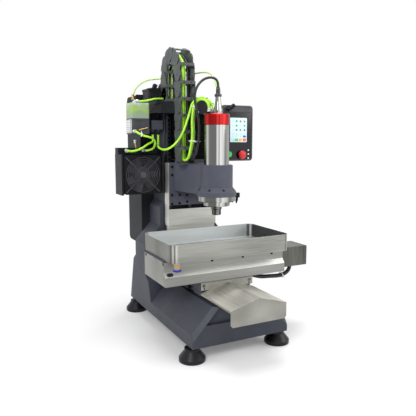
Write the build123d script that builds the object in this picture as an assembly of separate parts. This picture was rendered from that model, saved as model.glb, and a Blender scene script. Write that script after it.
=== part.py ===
# Bench-size three-axis milling machine with a one-piece cast frame.
# Machine axes: X along the table, Y towards the column, Z up. Millimetres.
# Shapes are drawn with x = 0 on the centre plane, y = 0 on the spindle axis and z = 0 on the bench,
# and are moved at the end so that the origin is the bottom centre of the whole machine.
import math
import os

from build123d import *

os.makedirs("parts", exist_ok=True)

# Running and mounting clearances
GAP = 0.3
SHAFT_GAP = 0.05

# Frame casting
BASE_HALF = 190
BASE_FRONT = -194
BASE_REAR = 457
UNDERSIDE = 55
SKIRTING_TOP = 100
DECK = 187
DECK_HALF = 109
BED_REAR = 201.5
FRONT_BEVEL = 15
COLUMN_FRONT = 257
COLUMN_REAR = 378
COLUMN_TOP = 849
COLUMN_HALF = 104
SHOULDER_HALF = 123
WALL = 22
TROUGH_HALF = 52
TROUGH_FLOOR = 120
FOOT_X = 173
FOOT_YS = (-153, 425)
FOOT_RADIUS = 46

# Guide rails and screws
RAIL = 15
Y_RAIL_X = 85
Y_SCREW_Z = 160
X_RAIL_YS = (-60, 75)
X_SCREW_Y = -15
X_SCREW_Z = 292
Z_RAIL_X = 88
Z_RAIL_WIDTH = 20
Z_RAIL_FACE = 239.5
Z_SCREW_Y = 240
SCREW_RADIUS = 7
JOURNAL_RADIUS = 5

# Saddle, table and tray
SADDLE_HALF = 106
SADDLE_FRONT = -86
SADDLE_REAR = 105
SADDLE_BOTTOM = 215
SADDLE_TOP = 282
COVER_FRONT = -301
COVER_HALF = 107
COVER_EAVES = 207
COVER_RIDGE = 237
COVER_CHIN = 152
TABLE_BOTTOM = 310
TABLE_TOP = 337
SKIRT_HALF = 244.5
SKIRT_BOTTOM = 248
SKIRT_TOP = 331
SKIRT_FRONT = -95
SKIRT_UPPER_FRONT = -81.5
SKIRT_REAR = 110
TRAY_HALF = 238
TRAY_FRONT = -135.6
TRAY_REAR = 140.3
TRAY_TOP = 399
TRAY_CORNER = 28
SHEET = 1.5
SLOT_TABLE_TOP = 356
T_SLOT_YS = (-55, 5, 65)
T_SLOT_WIDTH = 10
MOTOR_BOX_RIGHT = 372
DRAIN = (-210, -115)

# Head and spindle
PLATE_HALF = 104
PLATE_FRONT = 205
PLATE_REAR = 227
PLATE_BOTTOM = 486
PLATE_TOP = 656
COLLAR_RADIUS = 60
COLLAR_TOP = 655
SPINDLE_RADIUS = 46
SPINDLE_TOP = 799
CAP_RADIUS = 47.5
CAP_TOP = 838
FLANGE_RADIUS = 73
SHAFT_RADIUS = 20
BELLOWS_TOP = 849
BELLOWS_BOTTOM = 668
BELLOWS_FOLDS = 28

# Belt drive on top of the column
HOUSING_LEFT = -155
HOUSING_RIGHT = 69
HOUSING_FRONT = 205
HOUSING_REAR = 380
HOUSING_TOP = 884
LID_RIGHT = 96
LID_TOP = 894
Z_MOTOR = (-110, 338)
PULLEY_RADIUS = 20

# Drag chain
CHAIN_LEFT = -104
CHAIN_RIGHT = -42
CHAIN_PITCH = 60
CHAIN_BEND = 70
CHAIN_DEPTH = 58
CHAIN_CENTRE_Y = 187
CHAIN_CENTRE_Z = 999
FRONT_LINKS = 5

# Cabinet behind the column
CABINET_HALF = 158
CABINET_FRONT = 383
CABINET_SPLIT = 533
CABINET_REAR = 555
CABINET_BOTTOM = 300
CABINET_TOP = 932
HINGE_X = 162.8
HINGE_ZS = (400, 832)

# Cooling unit on the left of the column
RADIATOR_LEFT = -288
RADIATOR_RIGHT = -114
FAN_X = -201
FAN_Z = 610
FAN_HALF = 76
FAN_FRONT = 235
FAN_REAR = 273
FAN_BORE = 70
RADIATOR_REAR = 317
TANK_LEFT = -243
TANK_RIGHT = -170
PUMP_FRONT = 235
PUMP_REAR = 305
FILLER = (-201, 270)

# Operator panel on the right of the column
PANEL_LEFT = 140
PANEL_RIGHT = 292
PANEL_FRONT = 220
PANEL_REAR = 262
PANEL_BOTTOM = 658
PANEL_TOP = 890
PIVOT = (216, 290)
PANEL_CORNER = 14
STOP_BUTTON = (235, 684)
STOP_STEM = 8
START_BUTTON = (177, 686)
START_RADIUS = 12
KNOB = (178, 879)
KNOB_STEM = 7

# The origin of the machine, at the bottom centre of its box
ORIGIN_X = (RADIATOR_LEFT + MOTOR_BOX_RIGHT) / 2
ORIGIN_Y = (COVER_FRONT + CABINET_REAR) / 2


def block(x0, x1, y0, y1, z0, z1):
    """A box between two corners."""
    size = Box(x1 - x0, y1 - y0, z1 - z0)
    return Pos((x0 + x1) / 2, (y0 + y1) / 2, (z0 + z1) / 2) * size


def prism_x(points, x0, x1):
    """An outline of (y, z) points carried along X."""
    face = Plane.YZ.offset(x0) * make_face(Polyline(*points, close=True))
    return extrude(face, amount=x1 - x0)


def prism_y(points, y0, y1):
    """An outline of (x, z) points carried along Y."""
    face = Plane.XZ.offset(-y1) * make_face(Polyline(*points, close=True))
    return extrude(face, amount=y1 - y0)


def prism_z(points, z0, z1):
    """An outline of (x, y) points carried along Z."""
    face = Plane.XY.offset(z0) * make_face(Polyline(*points, close=True))
    return extrude(face, amount=z1 - z0)


def rounded_z(x0, x1, y0, y1, z0, z1, radius):
    """A plate with rounded upright corners."""
    outline = Pos((x0 + x1) / 2, (y0 + y1) / 2, z0) * RectangleRounded(x1 - x0, y1 - y0, radius)
    return extrude(outline, amount=z1 - z0)


def rounded_y(x0, x1, y0, y1, z0, z1, radius):
    """A plate whose corners are rounded in the front view."""
    middle = Pos((x0 + x1) / 2, (z0 + z1) / 2)
    outline = Plane.XZ.offset(-y1) * middle * RectangleRounded(x1 - x0, z1 - z0, radius)
    return extrude(outline, amount=y1 - y0)


def turned(x, y, profile):
    """A body of revolution about an upright axis, from (radius, z) points."""
    face = Plane.XZ * make_face(Polyline(*profile, close=True))
    return Pos(x, y, 0) * revolve(face, Axis.Z, 360)


def rod_z(x, y, radius, z0, z1):
    return Pos(x, y, (z0 + z1) / 2) * Cylinder(radius, z1 - z0)


def rod_y(x, z, radius, y0, y1):
    return Pos(x, (y0 + y1) / 2, z) * Rot(90, 0, 0) * Cylinder(radius, y1 - y0)


def rod_x(y, z, radius, x0, x1):
    return Pos((x0 + x1) / 2, y, z) * Rot(0, 90, 0) * Cylinder(radius, x1 - x0)


def flat(items):
    """The solids of a nested list, one after another."""
    found = []
    for item in items:
        found.extend(flat(item) if isinstance(item, (list, tuple)) else item.solids())
    return found


def save(name, *items):
    """Writes the solids of one node, moved to the origin of the machine."""
    move = Pos(-ORIGIN_X, -ORIGIN_Y, 0)
    export_step(Compound([move * solid for solid in flat(items)]), "parts/" + name + ".step")


# Frame

def frame_casting():
    """Bed, rear foot and column in one casting, hollow from below and from behind."""
    bed_half = [(BASE_HALF, UNDERSIDE), (BASE_HALF, SKIRTING_TOP), (DECK_HALF, DECK)]
    bed_outline = bed_half + [(-x, z) for x, z in reversed(bed_half)]
    bed = prism_y(bed_outline, BASE_FRONT, BED_REAR)
    slopes = [e for e in bed.edges() if abs(e.center().Y - BASE_FRONT) < 1
              and SKIRTING_TOP < e.center().Z < DECK]
    bed = chamfer(slopes, FRONT_BEVEL)
    bed -= prism_y([(-141, 129), (141, 129), (92, 182), (-92, 182)], BASE_FRONT - 1, BASE_FRONT + 12)

    front_half = [(BASE_HALF, UNDERSIDE), (BASE_HALF, 325), (SHOULDER_HALF, 401), (SHOULDER_HALF, 476),
                  (COLUMN_HALF, 497), (COLUMN_HALF, COLUMN_TOP)]
    front_view = front_half + [(-x, z) for x, z in reversed(front_half)]
    side_view = [(BED_REAR - 1, UNDERSIDE), (BED_REAR, 106), (226, 180), (COLUMN_FRONT, 195),
                 (COLUMN_FRONT, COLUMN_TOP), (COLUMN_REAR, COLUMN_TOP), (COLUMN_REAR, 262), (408, 240),
                 (BASE_REAR, UNDERSIDE)]
    column = prism_y(front_view, BED_REAR - 2, BASE_REAR) & prism_x(side_view, -BASE_HALF, BASE_HALF)
    casting = bed + column

    casting -= block(-TROUGH_HALF, TROUGH_HALF, -178, COLUMN_FRONT + 1, TROUGH_FLOOR, DECK + 80)
    casting -= rod_y(0, Y_SCREW_Z, 16, COLUMN_FRONT - 1, 305)
    casting -= block(-50, 50, 300, BASE_REAR + 1, 108, 215)
    casting -= block(-78, 78, 287, COLUMN_REAR + 1, 345, 830)

    hollow = block(-150, 150, BASE_FRONT + WALL, 178, UNDERSIDE - 1, TROUGH_FLOOR - 20)
    for side in (-1, 1):
        inner = min(side * 72, side * 165)
        hollow += block(inner, inner + 93, 280, 385, UNDERSIDE - 1, 235)
    for x in (-FOOT_X, FOOT_X):
        for y in FOOT_YS:
            hollow -= rod_z(x, y, 34, UNDERSIDE - 2, 320)
    return casting - hollow


def levelling_foot(x, y):
    """Round levelling pad with its cone, stud and lock nut, locked under the casting."""
    profile = [(0, 0), (FOOT_RADIUS - 2, 0), (FOOT_RADIUS, 2), (FOOT_RADIUS, 14), (27, 38), (27, 46),
               (9, 46), (9, 48), (14, 48), (14, UNDERSIDE), (0, UNDERSIDE)]
    return turned(x, y, profile)


def rail_profile(half, height):
    """Half outline of a profiled guide rail, with its running groove."""
    return [(half, 0), (half, height * 0.4), (half - 1.5, height * 0.55), (half - 1.5, height * 0.75),
            (half, height * 0.9), (half - 0.8, height)]


def rail_along_y(x, y0, y1, z):
    right = rail_profile(RAIL / 2, RAIL)
    outline = [(x + u, z + v) for u, v in right] + [(x - u, z + v) for u, v in reversed(right)]
    return prism_y(outline, y0, y1)


def rail_along_x(y, x0, x1, z):
    """A rail hung under the table, so its foot is at the top."""
    right = rail_profile(RAIL / 2, RAIL)
    outline = [(y + u, z - v) for u, v in right] + [(y - u, z - v) for u, v in reversed(right)]
    return prism_x(outline, x0, x1)


def rail_along_z(x, z0, z1):
    right = rail_profile(Z_RAIL_WIDTH / 2, COLUMN_FRONT - Z_RAIL_FACE)
    outline = [(x + u, COLUMN_FRONT - v) for u, v in right]
    outline += [(x - u, COLUMN_FRONT - v) for u, v in reversed(right)]
    return prism_z(outline, z0, z1)


def linear_rails():
    """Two Y rails on the bed and two Z rails on the column."""
    y_rails = [rail_along_y(x, -185, 200, DECK) for x in (-Y_RAIL_X, Y_RAIL_X)]
    z_rails = [rail_along_z(x, 436, 846) for x in (-Z_RAIL_X, Z_RAIL_X)]
    return y_rails + z_rails


def y_bearing(y0, y1, bottom):
    body = block(-26, 26, y0, y1, bottom, Y_SCREW_Z + 20)
    return body - rod_y(0, Y_SCREW_Z, JOURNAL_RADIUS + SHAFT_GAP, y0 - 1, y1 + 1)


def z_bearing(z0, z1):
    body = block(-22, 22, Z_SCREW_Y - 11.5, COLUMN_FRONT, z0, z1)
    return body - rod_z(0, Z_SCREW_Y, JOURNAL_RADIUS + SHAFT_GAP, z0 - 1, z1 + 1)


def screw_bearings():
    """End bearing blocks of the Y and Z screws."""
    return [y_bearing(-172, -152, TROUGH_FLOOR), y_bearing(232, COLUMN_FRONT, TROUGH_FLOOR),
            z_bearing(440, 458), z_bearing(824, 846)]


def square_motor(half, length, shaft_bore):
    """A stepper motor body along Z from z = 0, with cut corners, end caps and a pilot bore."""
    body = rounded_z(-half, half, -half, half, 0, length, 4)
    waist = rounded_z(-half - 1, half + 1, -half - 1, half + 1, 9, length - 9, 4)
    waist -= rounded_z(-half + 1.2, half - 1.2, -half + 1.2, half - 1.2, 8, length - 8, 7)
    body -= waist
    return body - rod_z(0, 0, shaft_bore, -1, 24)


def axis_motors():
    """The Y motor in the rear of the bed, and the Z motor with its two connectors."""
    y_motor = Pos(0, 316, Y_SCREW_Z) * Rot(-90, 0, 0) * square_motor(30, 84, 6)
    z_motor = Pos(Z_MOTOR[0], Z_MOTOR[1], LID_TOP) * square_motor(40, 56, 8)
    z_motor += rod_z(Z_MOTOR[0], Z_MOTOR[1], 30, LID_TOP + 56, LID_TOP + 60)
    plugs = []
    for x in (-118, -92):
        plug = Pos(x, 315, LID_TOP + 63) * Rot(0, 22, 0) * Box(15, 17, 24)
        plugs.append(plug - z_motor)
    return [y_motor, z_motor, plugs]


def belt_loop(radius, z0, z1):
    """The outline of a belt round both Z pulleys."""
    run = math.hypot(Z_MOTOR[0], Z_MOTOR[1] - Z_SCREW_Y)
    angle = math.degrees(math.atan2(Z_SCREW_Y - Z_MOTOR[1], -Z_MOTOR[0]))
    middle = Pos(Z_MOTOR[0] / 2, (Z_MOTOR[1] + Z_SCREW_Y) / 2, z0) * Rot(0, 0, angle)
    return extrude(middle * SlotCenterToCenter(run, 2 * radius), amount=z1 - z0)


def z_belt():
    """The toothed belt of the Z drive, a closed band clear of both pulleys."""
    inside = PULLEY_RADIUS + GAP
    return belt_loop(inside + 2.2, 861, 873) - belt_loop(inside, 860, 874)


def z_belt_housing():
    """Black housing of the Z belt drive, and the grey plate that closes it and carries the motor."""
    outline = [(HOUSING_LEFT, 225), (-135, HOUSING_FRONT), (HOUSING_RIGHT, HOUSING_FRONT),
               (HOUSING_RIGHT, HOUSING_REAR), (HOUSING_LEFT, HOUSING_REAR)]
    tub = prism_z(outline, COLUMN_TOP, HOUSING_TOP)
    tub -= block(HOUSING_LEFT + 4, HOUSING_RIGHT - 4, 229, HOUSING_REAR - 4, COLUMN_TOP + 4, HOUSING_TOP + 1)
    tub -= rod_z(0, Z_SCREW_Y, 12, COLUMN_TOP - 1, COLUMN_TOP + 5)
    tub -= prism_z([(-150, 228), (-132, 209), (65, 209), (65, 230), (-150, 230)],
                   COLUMN_TOP + 4, HOUSING_TOP + 1)
    lid = rounded_z(HOUSING_LEFT, LID_RIGHT, HOUSING_FRONT, HOUSING_REAR, HOUSING_TOP, LID_TOP, 5)
    lid -= rod_z(Z_MOTOR[0], Z_MOTOR[1], 12, HOUSING_TOP - 1, LID_TOP + 1)
    return [tub, lid]


# Y and Z screws and their pulleys

def screw_z(z0, z1):
    """Threaded length of an upright screw with a journal at each end."""
    return rod_z(0, Z_SCREW_Y, SCREW_RADIUS, z0, z1)


def z_ball_screw():
    """Z screw with its journals and the driven pulley on its upper end."""
    screw = screw_z(459, 823) + rod_z(0, Z_SCREW_Y, JOURNAL_RADIUS, 441, 878)
    return screw + pulley(0, Z_SCREW_Y)


def pulley(x, y):
    """Flanged timing pulley with a row of belt grooves."""
    body = turned(x, y, [(0, 858), (22, 858), (22, 860), (PULLEY_RADIUS, 860), (PULLEY_RADIUS, 874),
                         (22, 874), (22, 876), (0, 876)])
    for i in range(16):
        angle = math.radians(i * 22.5)
        body -= rod_z(x + PULLEY_RADIUS * math.cos(angle), y + PULLEY_RADIUS * math.sin(angle), 1.2, 860, 874)
    return body


def z_motor_pulley():
    """Driving pulley on the shaft of the Z motor."""
    shaft = rod_z(Z_MOTOR[0], Z_MOTOR[1], 5, 857, LID_TOP + 20)
    return pulley(*Z_MOTOR) + shaft


def y_ball_screw():
    """Y screw with its journals, and the coupling on the shaft of the Y motor."""
    screw = rod_y(0, Y_SCREW_Z, SCREW_RADIUS, -151, 231)
    screw += rod_y(0, Y_SCREW_Z, JOURNAL_RADIUS, -171, 334)
    return screw + rod_y(0, Y_SCREW_Z, 11, 268, 302)


# Saddle

def carriage(width, length, height, rail_half, rail_cover):
    """A guide carriage over a rail that lies along Y at z = 0, centred on the rail."""
    body = block(-width / 2, width / 2, -length / 2, length / 2, 4.5, height)
    return body - block(-rail_half - GAP, rail_half + GAP, -length, length, 0, rail_cover)


def saddle_casting():
    """Saddle with its Y and X carriages and the nuts of both screws."""
    body = block(-SADDLE_HALF, SADDLE_HALF, SADDLE_FRONT, SADDLE_REAR, SADDLE_BOTTOM, SADDLE_TOP)
    body = chamfer(body.edges().filter_by(Axis.Z), 6)
    body -= block(-SADDLE_HALF - 1, SADDLE_HALF + 1, X_SCREW_Y - 22, X_SCREW_Y + 22, 268, SADDLE_TOP + 1)
    body -= block(-60, 60, -66, 86, SADDLE_BOTTOM - 1, 240)
    solids = [body]
    for x in (-Y_RAIL_X, Y_RAIL_X):
        for y in (-48, 68):
            solids.append(Pos(x, y, DECK) * carriage(34, 58, SADDLE_BOTTOM - DECK, RAIL / 2, RAIL + GAP))
    turn = Rot(0, 0, 90) * Rot(180, 0, 0)
    for y in X_RAIL_YS:
        for x in (-65, 65):
            height = TABLE_BOTTOM - SADDLE_TOP
            solids.append(Pos(x, y, TABLE_BOTTOM) * turn * carriage(34, 58, height, RAIL / 2, RAIL + GAP))
    y_nut = block(-20, 20, 0, 40, Y_SCREW_Z - 18, 240) - rod_y(0, Y_SCREW_Z, SCREW_RADIUS + SHAFT_GAP, -1, 41)
    x_nut = block(-22, 22, X_SCREW_Y - 17, X_SCREW_Y + 17, 268, X_SCREW_Z + 15)
    x_nut -= rod_x(X_SCREW_Y, X_SCREW_Z, SCREW_RADIUS + SHAFT_GAP, -23, 23)
    return solids + [y_nut, x_nut]


def y_way_cover():
    """Folded stainless cover over the front of the Y ways, with its end panel and flange."""
    def roof(drop):
        return [(-COVER_HALF + drop, COVER_EAVES), (0, COVER_RIDGE - drop), (COVER_HALF - drop, COVER_EAVES)]
    outer = prism_y(roof(0), COVER_FRONT, SADDLE_FRONT - SHEET)
    skin = outer - Pos(0, 0, -SHEET) * outer
    chin = [(-COVER_HALF, COVER_EAVES), (0, COVER_RIDGE), (COVER_HALF, COVER_EAVES),
            (COVER_HALF, COVER_CHIN + 8), (COVER_HALF - 8, COVER_CHIN), (-COVER_HALF + 8, COVER_CHIN),
            (-COVER_HALF, COVER_CHIN + 8)]
    front = prism_y(chin, COVER_FRONT, COVER_FRONT + SHEET)
    lips = []
    for side in (-1, 1):
        edge = side * (COVER_HALF - SHEET / 2)
        lips.append(block(edge - SHEET / 2, edge + SHEET / 2, COVER_FRONT, SADDLE_FRONT - SHEET,
                          COVER_EAVES - 7, COVER_EAVES))
    flange = block(-SADDLE_HALF, SADDLE_HALF, SADDLE_FRONT - SHEET, SADDLE_FRONT, 216, 244)
    return skin + front + lips[0] + lips[1] + flange


# Table

def table_plate():
    """Table plate with the two X rails and the X screw bearings under it."""
    plate = block(-242, 242, -79, 107, TABLE_BOTTOM, TABLE_TOP)
    plate = chamfer(plate.edges().filter_by(Axis.Z), 4)
    rails = [rail_along_x(y, -235, 235, TABLE_BOTTOM) for y in X_RAIL_YS]
    bearings = []
    for x in (-236, 218):
        bearing = block(x, x + 18, X_SCREW_Y - 17, X_SCREW_Y + 17, 276, TABLE_BOTTOM)
        bearings.append(bearing - rod_x(X_SCREW_Y, X_SCREW_Z, JOURNAL_RADIUS + SHAFT_GAP, x - 1, x + 19))
    return [plate, rails, bearings]


def slot_table():
    """The slotted work table inside the tray."""
    table = block(-212, 212, -88, 98, TABLE_TOP + SHEET, SLOT_TABLE_TOP)
    for y in T_SLOT_YS:
        table -= block(-213, 213, y - T_SLOT_WIDTH / 2, y + T_SLOT_WIDTH / 2, 346, SLOT_TABLE_TOP + 1)
        table -= block(-213, 213, y - 8.5, y + 8.5, 341.5, 347.5)
    return table


def coolant_tray():
    """Welded stainless tray, clamped between the table plate and the slotted table."""
    outer = rounded_z(-TRAY_HALF, TRAY_HALF, TRAY_FRONT, TRAY_REAR, TABLE_TOP, TRAY_TOP, TRAY_CORNER)
    inner = rounded_z(-TRAY_HALF + SHEET, TRAY_HALF - SHEET, TRAY_FRONT + SHEET, TRAY_REAR - SHEET,
                      TABLE_TOP + SHEET, TRAY_TOP + 1, TRAY_CORNER - SHEET)
    tray = outer - inner
    return tray - rod_z(DRAIN[0], DRAIN[1], 6, TABLE_TOP - 1, TABLE_TOP + SHEET + 1)


def drain_fitting():
    """Brass push-in fitting under the tray, with its hexagon and release ring."""
    x, y = DRAIN
    hexagon = extrude(Pos(x, y, 327) * RegularPolygon(13, 6), amount=TABLE_TOP - 327)
    body = hexagon + rod_z(x, y, 11, 315, 327.5) - rod_z(x, y, 6, 314, TABLE_TOP + 1)
    ring = turned(x, y, [(6, 306), (14.5, 306), (14.5, 311), (11, 315), (6, 315)])
    return [body, ring]


def table_skirt():
    """Folded stainless skirt round the table, its front set out below a sloping band."""
    outer_side = [(SKIRT_FRONT, SKIRT_BOTTOM), (SKIRT_FRONT, 280), (SKIRT_UPPER_FRONT, 297),
                  (SKIRT_UPPER_FRONT, SKIRT_TOP), (SKIRT_REAR, SKIRT_TOP), (SKIRT_REAR, SKIRT_BOTTOM)]
    inner_side = [(SKIRT_FRONT + SHEET, SKIRT_BOTTOM - 1), (SKIRT_FRONT + SHEET, 280.6),
                  (SKIRT_UPPER_FRONT + SHEET, 297.6), (SKIRT_UPPER_FRONT + SHEET, SKIRT_TOP + 1),
                  (SKIRT_REAR - SHEET, SKIRT_TOP + 1), (SKIRT_REAR - SHEET, SKIRT_BOTTOM - 1)]
    skirt = prism_x(outer_side, -SKIRT_HALF, SKIRT_HALF)
    skirt -= prism_x(inner_side, -SKIRT_HALF + SHEET, SKIRT_HALF - SHEET)
    return skirt - rod_x(X_SCREW_Y, X_SCREW_Z, 19, SKIRT_HALF - 5, SKIRT_HALF + 5)


def x_ball_screw():
    """X screw with its journals, and the coupling on the shaft of the X motor."""
    screw = rod_x(X_SCREW_Y, X_SCREW_Z, SCREW_RADIUS, -217, 217)
    screw += rod_x(X_SCREW_Y, X_SCREW_Z, JOURNAL_RADIUS, -235, 284)
    return screw + rod_x(X_SCREW_Y, X_SCREW_Z, 11, 240, 266)


def x_motor():
    """X motor in its box, with the flange that carries it."""
    motor = Pos(270, X_SCREW_Y, X_SCREW_Z) * Rot(0, 90, 0) * square_motor(28.5, 76, 6)
    flange = block(266, 270, -58, 28, 258, 327) - rod_x(X_SCREW_Y, X_SCREW_Z, 19, 265, 271)
    return [motor, flange]


def x_motor_cover():
    """Folded stainless box over the X motor, open towards the skirt, with a conduit hole below."""
    box = rounded_y(SKIRT_HALF, MOTOR_BOX_RIGHT, -65, 35, 254, 331, 3)
    inside = block(SKIRT_HALF - 1, MOTOR_BOX_RIGHT - SHEET, -65 + SHEET, 35 - SHEET, 254 + SHEET, 331 - SHEET)
    return box - inside - rod_z(340, 0, 9, 253, 257)


# Head

def z_slide_plate():
    """Z slide plate with its carriages, screw nut and the bracket of the bellows."""
    plate = block(-PLATE_HALF, PLATE_HALF, PLATE_FRONT, PLATE_REAR, PLATE_BOTTOM, PLATE_TOP)
    plate = chamfer(plate.edges().filter_by(Axis.Z), 2)
    solids = [plate]
    for x in (-Z_RAIL_X, Z_RAIL_X):
        for z in (PLATE_BOTTOM + 36, PLATE_TOP - 36):
            body = block(x - 15.5, x + 15.5, PLATE_REAR, COLUMN_FRONT - 4.5, z - 34, z + 34)
            half = Z_RAIL_WIDTH / 2 + GAP
            solids.append(body - block(x - half, x + half, Z_RAIL_FACE - GAP, COLUMN_FRONT, z - 35, z + 35))
    nut = block(-20, 20, PLATE_REAR, Z_SCREW_Y + 13, 556, 600)
    solids.append(nut - rod_z(0, Z_SCREW_Y, SCREW_RADIUS + SHAFT_GAP, 555, 601))
    shelf = block(-78, 78, PLATE_FRONT, 250, PLATE_TOP, PLATE_TOP + SHEET)
    shelf += block(-78, 78, PLATE_FRONT, PLATE_FRONT + SHEET, PLATE_TOP, BELLOWS_BOTTOM)
    shelf += block(-78, 78, PLATE_FRONT, 250, BELLOWS_BOTTOM - SHEET, BELLOWS_BOTTOM)
    solids.append(shelf - block(-30, 30, PLATE_REAR, 251, PLATE_TOP - 1, BELLOWS_BOTTOM + 1))
    return solids


def spindle_bracket():
    """Cast bracket: back flange, tapering web, round collar, cone and lower flange."""
    web = prism_z([(-83, PLATE_FRONT), (83, PLATE_FRONT), (58, 12), (-58, 12)], 546, COLLAR_TOP)
    collar = turned(0, 0, [(0, 541), (FLANGE_RADIUS, 541), (FLANGE_RADIUS, 557), (COLLAR_RADIUS, 574),
                           (COLLAR_RADIUS, COLLAR_TOP - 2), (COLLAR_RADIUS - 2, COLLAR_TOP), (0, COLLAR_TOP)])
    body = web + collar
    body -= prism_z([(-58, 190), (58, 190), (44, 78), (-44, 78)], 545, 640)
    return body - rod_z(0, 0, SPINDLE_RADIUS, 540, COLLAR_TOP + 1)


def spindle_body():
    """Cylindrical high-speed spindle, clamped in the collar."""
    body = turned(0, 0, [(0, 541), (SPINDLE_RADIUS, 541), (SPINDLE_RADIUS, SPINDLE_TOP - 1),
                         (SPINDLE_RADIUS - 1, SPINDLE_TOP), (0, SPINDLE_TOP)])
    return body - rod_z(0, 0, 12 + SHAFT_GAP, 540, 700)


def spindle_cap():
    """Anodised upper cap of the spindle."""
    return turned(0, 0, [(0, SPINDLE_TOP), (CAP_RADIUS - 1, SPINDLE_TOP), (CAP_RADIUS, SPINDLE_TOP + 1),
                         (CAP_RADIUS, CAP_TOP - 2.5), (CAP_RADIUS - 2.5, CAP_TOP), (0, CAP_TOP)])


CONNECTOR_X = 6


def spindle_connector():
    """Power connector on the cap: seat ring, flared cone, rounded coupling ring and strain relief."""
    seat = [(0, CAP_TOP), (17.5, CAP_TOP), (17.5, 843), (16.5, 844)]
    cone = [(17, 845), (17, 851), (14.6, 860), (12.4, 870), (10.8, 882), (9.8, 899)]
    ring = [(12.2, 899.5), (13.2, 902), (13.2, 906), (12.2, 908.5), (8.6, 909.5)]
    relief = [(8.2, 911), (7.8, 926), (6.5, 931), (5.5, 934), (0, 934)]
    return turned(CONNECTOR_X, 0, seat + cone + ring + relief)


CAP_PORTS = ((-25, 12), (-12, 31), (6, 40), (25, 31))


def head_fittings():
    """Push-in hose fittings on the cap and two coolant nozzles beside the nose."""
    solids = []
    for x, y in CAP_PORTS:
        solids.append(turned(x, y, [(0, CAP_TOP), (6.5, CAP_TOP), (6.5, 843), (5.5, 844), (5.5, 849),
                                    (6.2, 849), (6.2, 852), (0, 852)]))
    for y in (-18, 10):
        stem = Pos(78, y, 533) * Rot(0, 10, 0) * Pos(0, 0, -3) * Cylinder(4.5, 16)
        tip = Pos(78, y, 533) * Rot(0, 10, 0) * Pos(0, 0, -17) * Cone(2, 4.5, 12)
        holder = rounded_z(64, 86, y - 8, y + 8, 533, 550, 3)
        holder -= rod_z(0, 0, 73.2, 500, 560)
        solids.append(holder + stem + tip)
    return solids


def spindle_nose():
    """Turned nose of the spindle: wide ring, screw ring and labyrinth lip."""
    bore = SHAFT_RADIUS + SHAFT_GAP
    profile = [(bore, 541), (70, 541), (70, 524), (68, 522), (50, 522), (50, 507), (48, 505), (bore, 505)]
    nose = turned(0, 0, profile)
    for i in range(6):
        angle = math.radians(60 * i + 15)
        nose -= rod_z(38 * math.cos(angle), 38 * math.sin(angle), 4, 504, 509)
    return nose


def spindle_shaft():
    """Spindle shaft, turning in the spindle body."""
    return turned(0, 0, [(0, 490), (17, 490), (SHAFT_RADIUS, 493), (SHAFT_RADIUS, 540.5), (12, 540.5),
                         (12, 699), (0, 699)]) - rod_z(0, 0, 8.5, 489, 520)


def collet_nut():
    """Clamping nut with its wrench slots, and the collet inside it."""
    nut = turned(0, 0, [(8.5, 472), (15, 470), (17, 472), (17, 490), (8.5, 490)])
    for i in range(6):
        nut -= Rot(0, 0, 60 * i) * block(14.5, 19, -2.5, 2.5, 474, 491)
    collet = turned(0, 0, [(5, 471.5), (8.5, 471.5), (8.5, 519), (5, 519)])
    return [nut, collet]


def z_cover_moving():
    """Stainless cover below the slide plate, with folded sides that run up beside the plate."""
    left = PLATE_HALF + SHEET
    front = block(-left, left, 207, 207 + SHEET, 403, 470)
    side = [(207, 403), (243, 403), (247, 410), (247, 656), (PLATE_FRONT, 656), (PLATE_FRONT, 486),
            (207, 470)]
    return front + prism_x(side, PLATE_HALF, left) + prism_x(side, -left, -PLATE_HALF)


def z_cover_fixed():
    """Lower stainless Z cover, which the moving cover slides over."""
    side = [(211, 196), (240, 196), (240, 436), (211, 436)]
    front = block(-102, 102, 211, 211 + SHEET, 196, 436)
    shell = front + prism_x(side, 102 - SHEET, 102) + prism_x(side, -102, SHEET - 102)
    tabs = block(-102, 102, 211, COLUMN_FRONT, 430 - SHEET, 430) - block(-98, 98, 214, 258, 420, 436)
    return shell + tabs


def z_bellows():
    """Pleated bellows over the Z screw, a channel open towards the column."""
    step = (BELLOWS_TOP - BELLOWS_BOTTOM) / (2 * BELLOWS_FOLDS)
    sections = []
    for i in range(2 * BELLOWS_FOLDS + 1):
        inset = 4 * (i % 2)
        half = 75 - inset
        outline = Polyline((-half, 250), (half, 250), (half, 210 + inset), (-half, 210 + inset), close=True)
        sections.append(Plane.XY.offset(BELLOWS_BOTTOM + i * step) * make_face(outline))
    pleats = loft(sections, ruled=True)
    return pleats - block(-68, 68, 217, 251, BELLOWS_BOTTOM - 1, BELLOWS_TOP + 1)


# Drag chain

def chain_pivots():
    """Pivots (y, z) of the chain, from the front end over the bend to the rear end."""
    swing = 2 * math.asin(CHAIN_PITCH / 2 / CHAIN_BEND)
    shoulder = CHAIN_BEND - CHAIN_BEND * math.sin(swing)
    level = CHAIN_CENTRE_Z + CHAIN_BEND * math.cos(swing) - math.sqrt(CHAIN_PITCH ** 2 - shoulder ** 2)
    front_y = CHAIN_CENTRE_Y - CHAIN_BEND
    rear_y = CHAIN_CENTRE_Y + CHAIN_BEND
    pivots = [(front_y, level - CHAIN_PITCH * i) for i in range(FRONT_LINKS, -1, -1)]
    for k in (-1, 0, 1):
        pivots.append((CHAIN_CENTRE_Y + CHAIN_BEND * math.sin(k * swing),
                       CHAIN_CENTRE_Z + CHAIN_BEND * math.cos(k * swing)))
    return pivots + [(rear_y, level), (rear_y, level - CHAIN_PITCH)]


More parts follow.
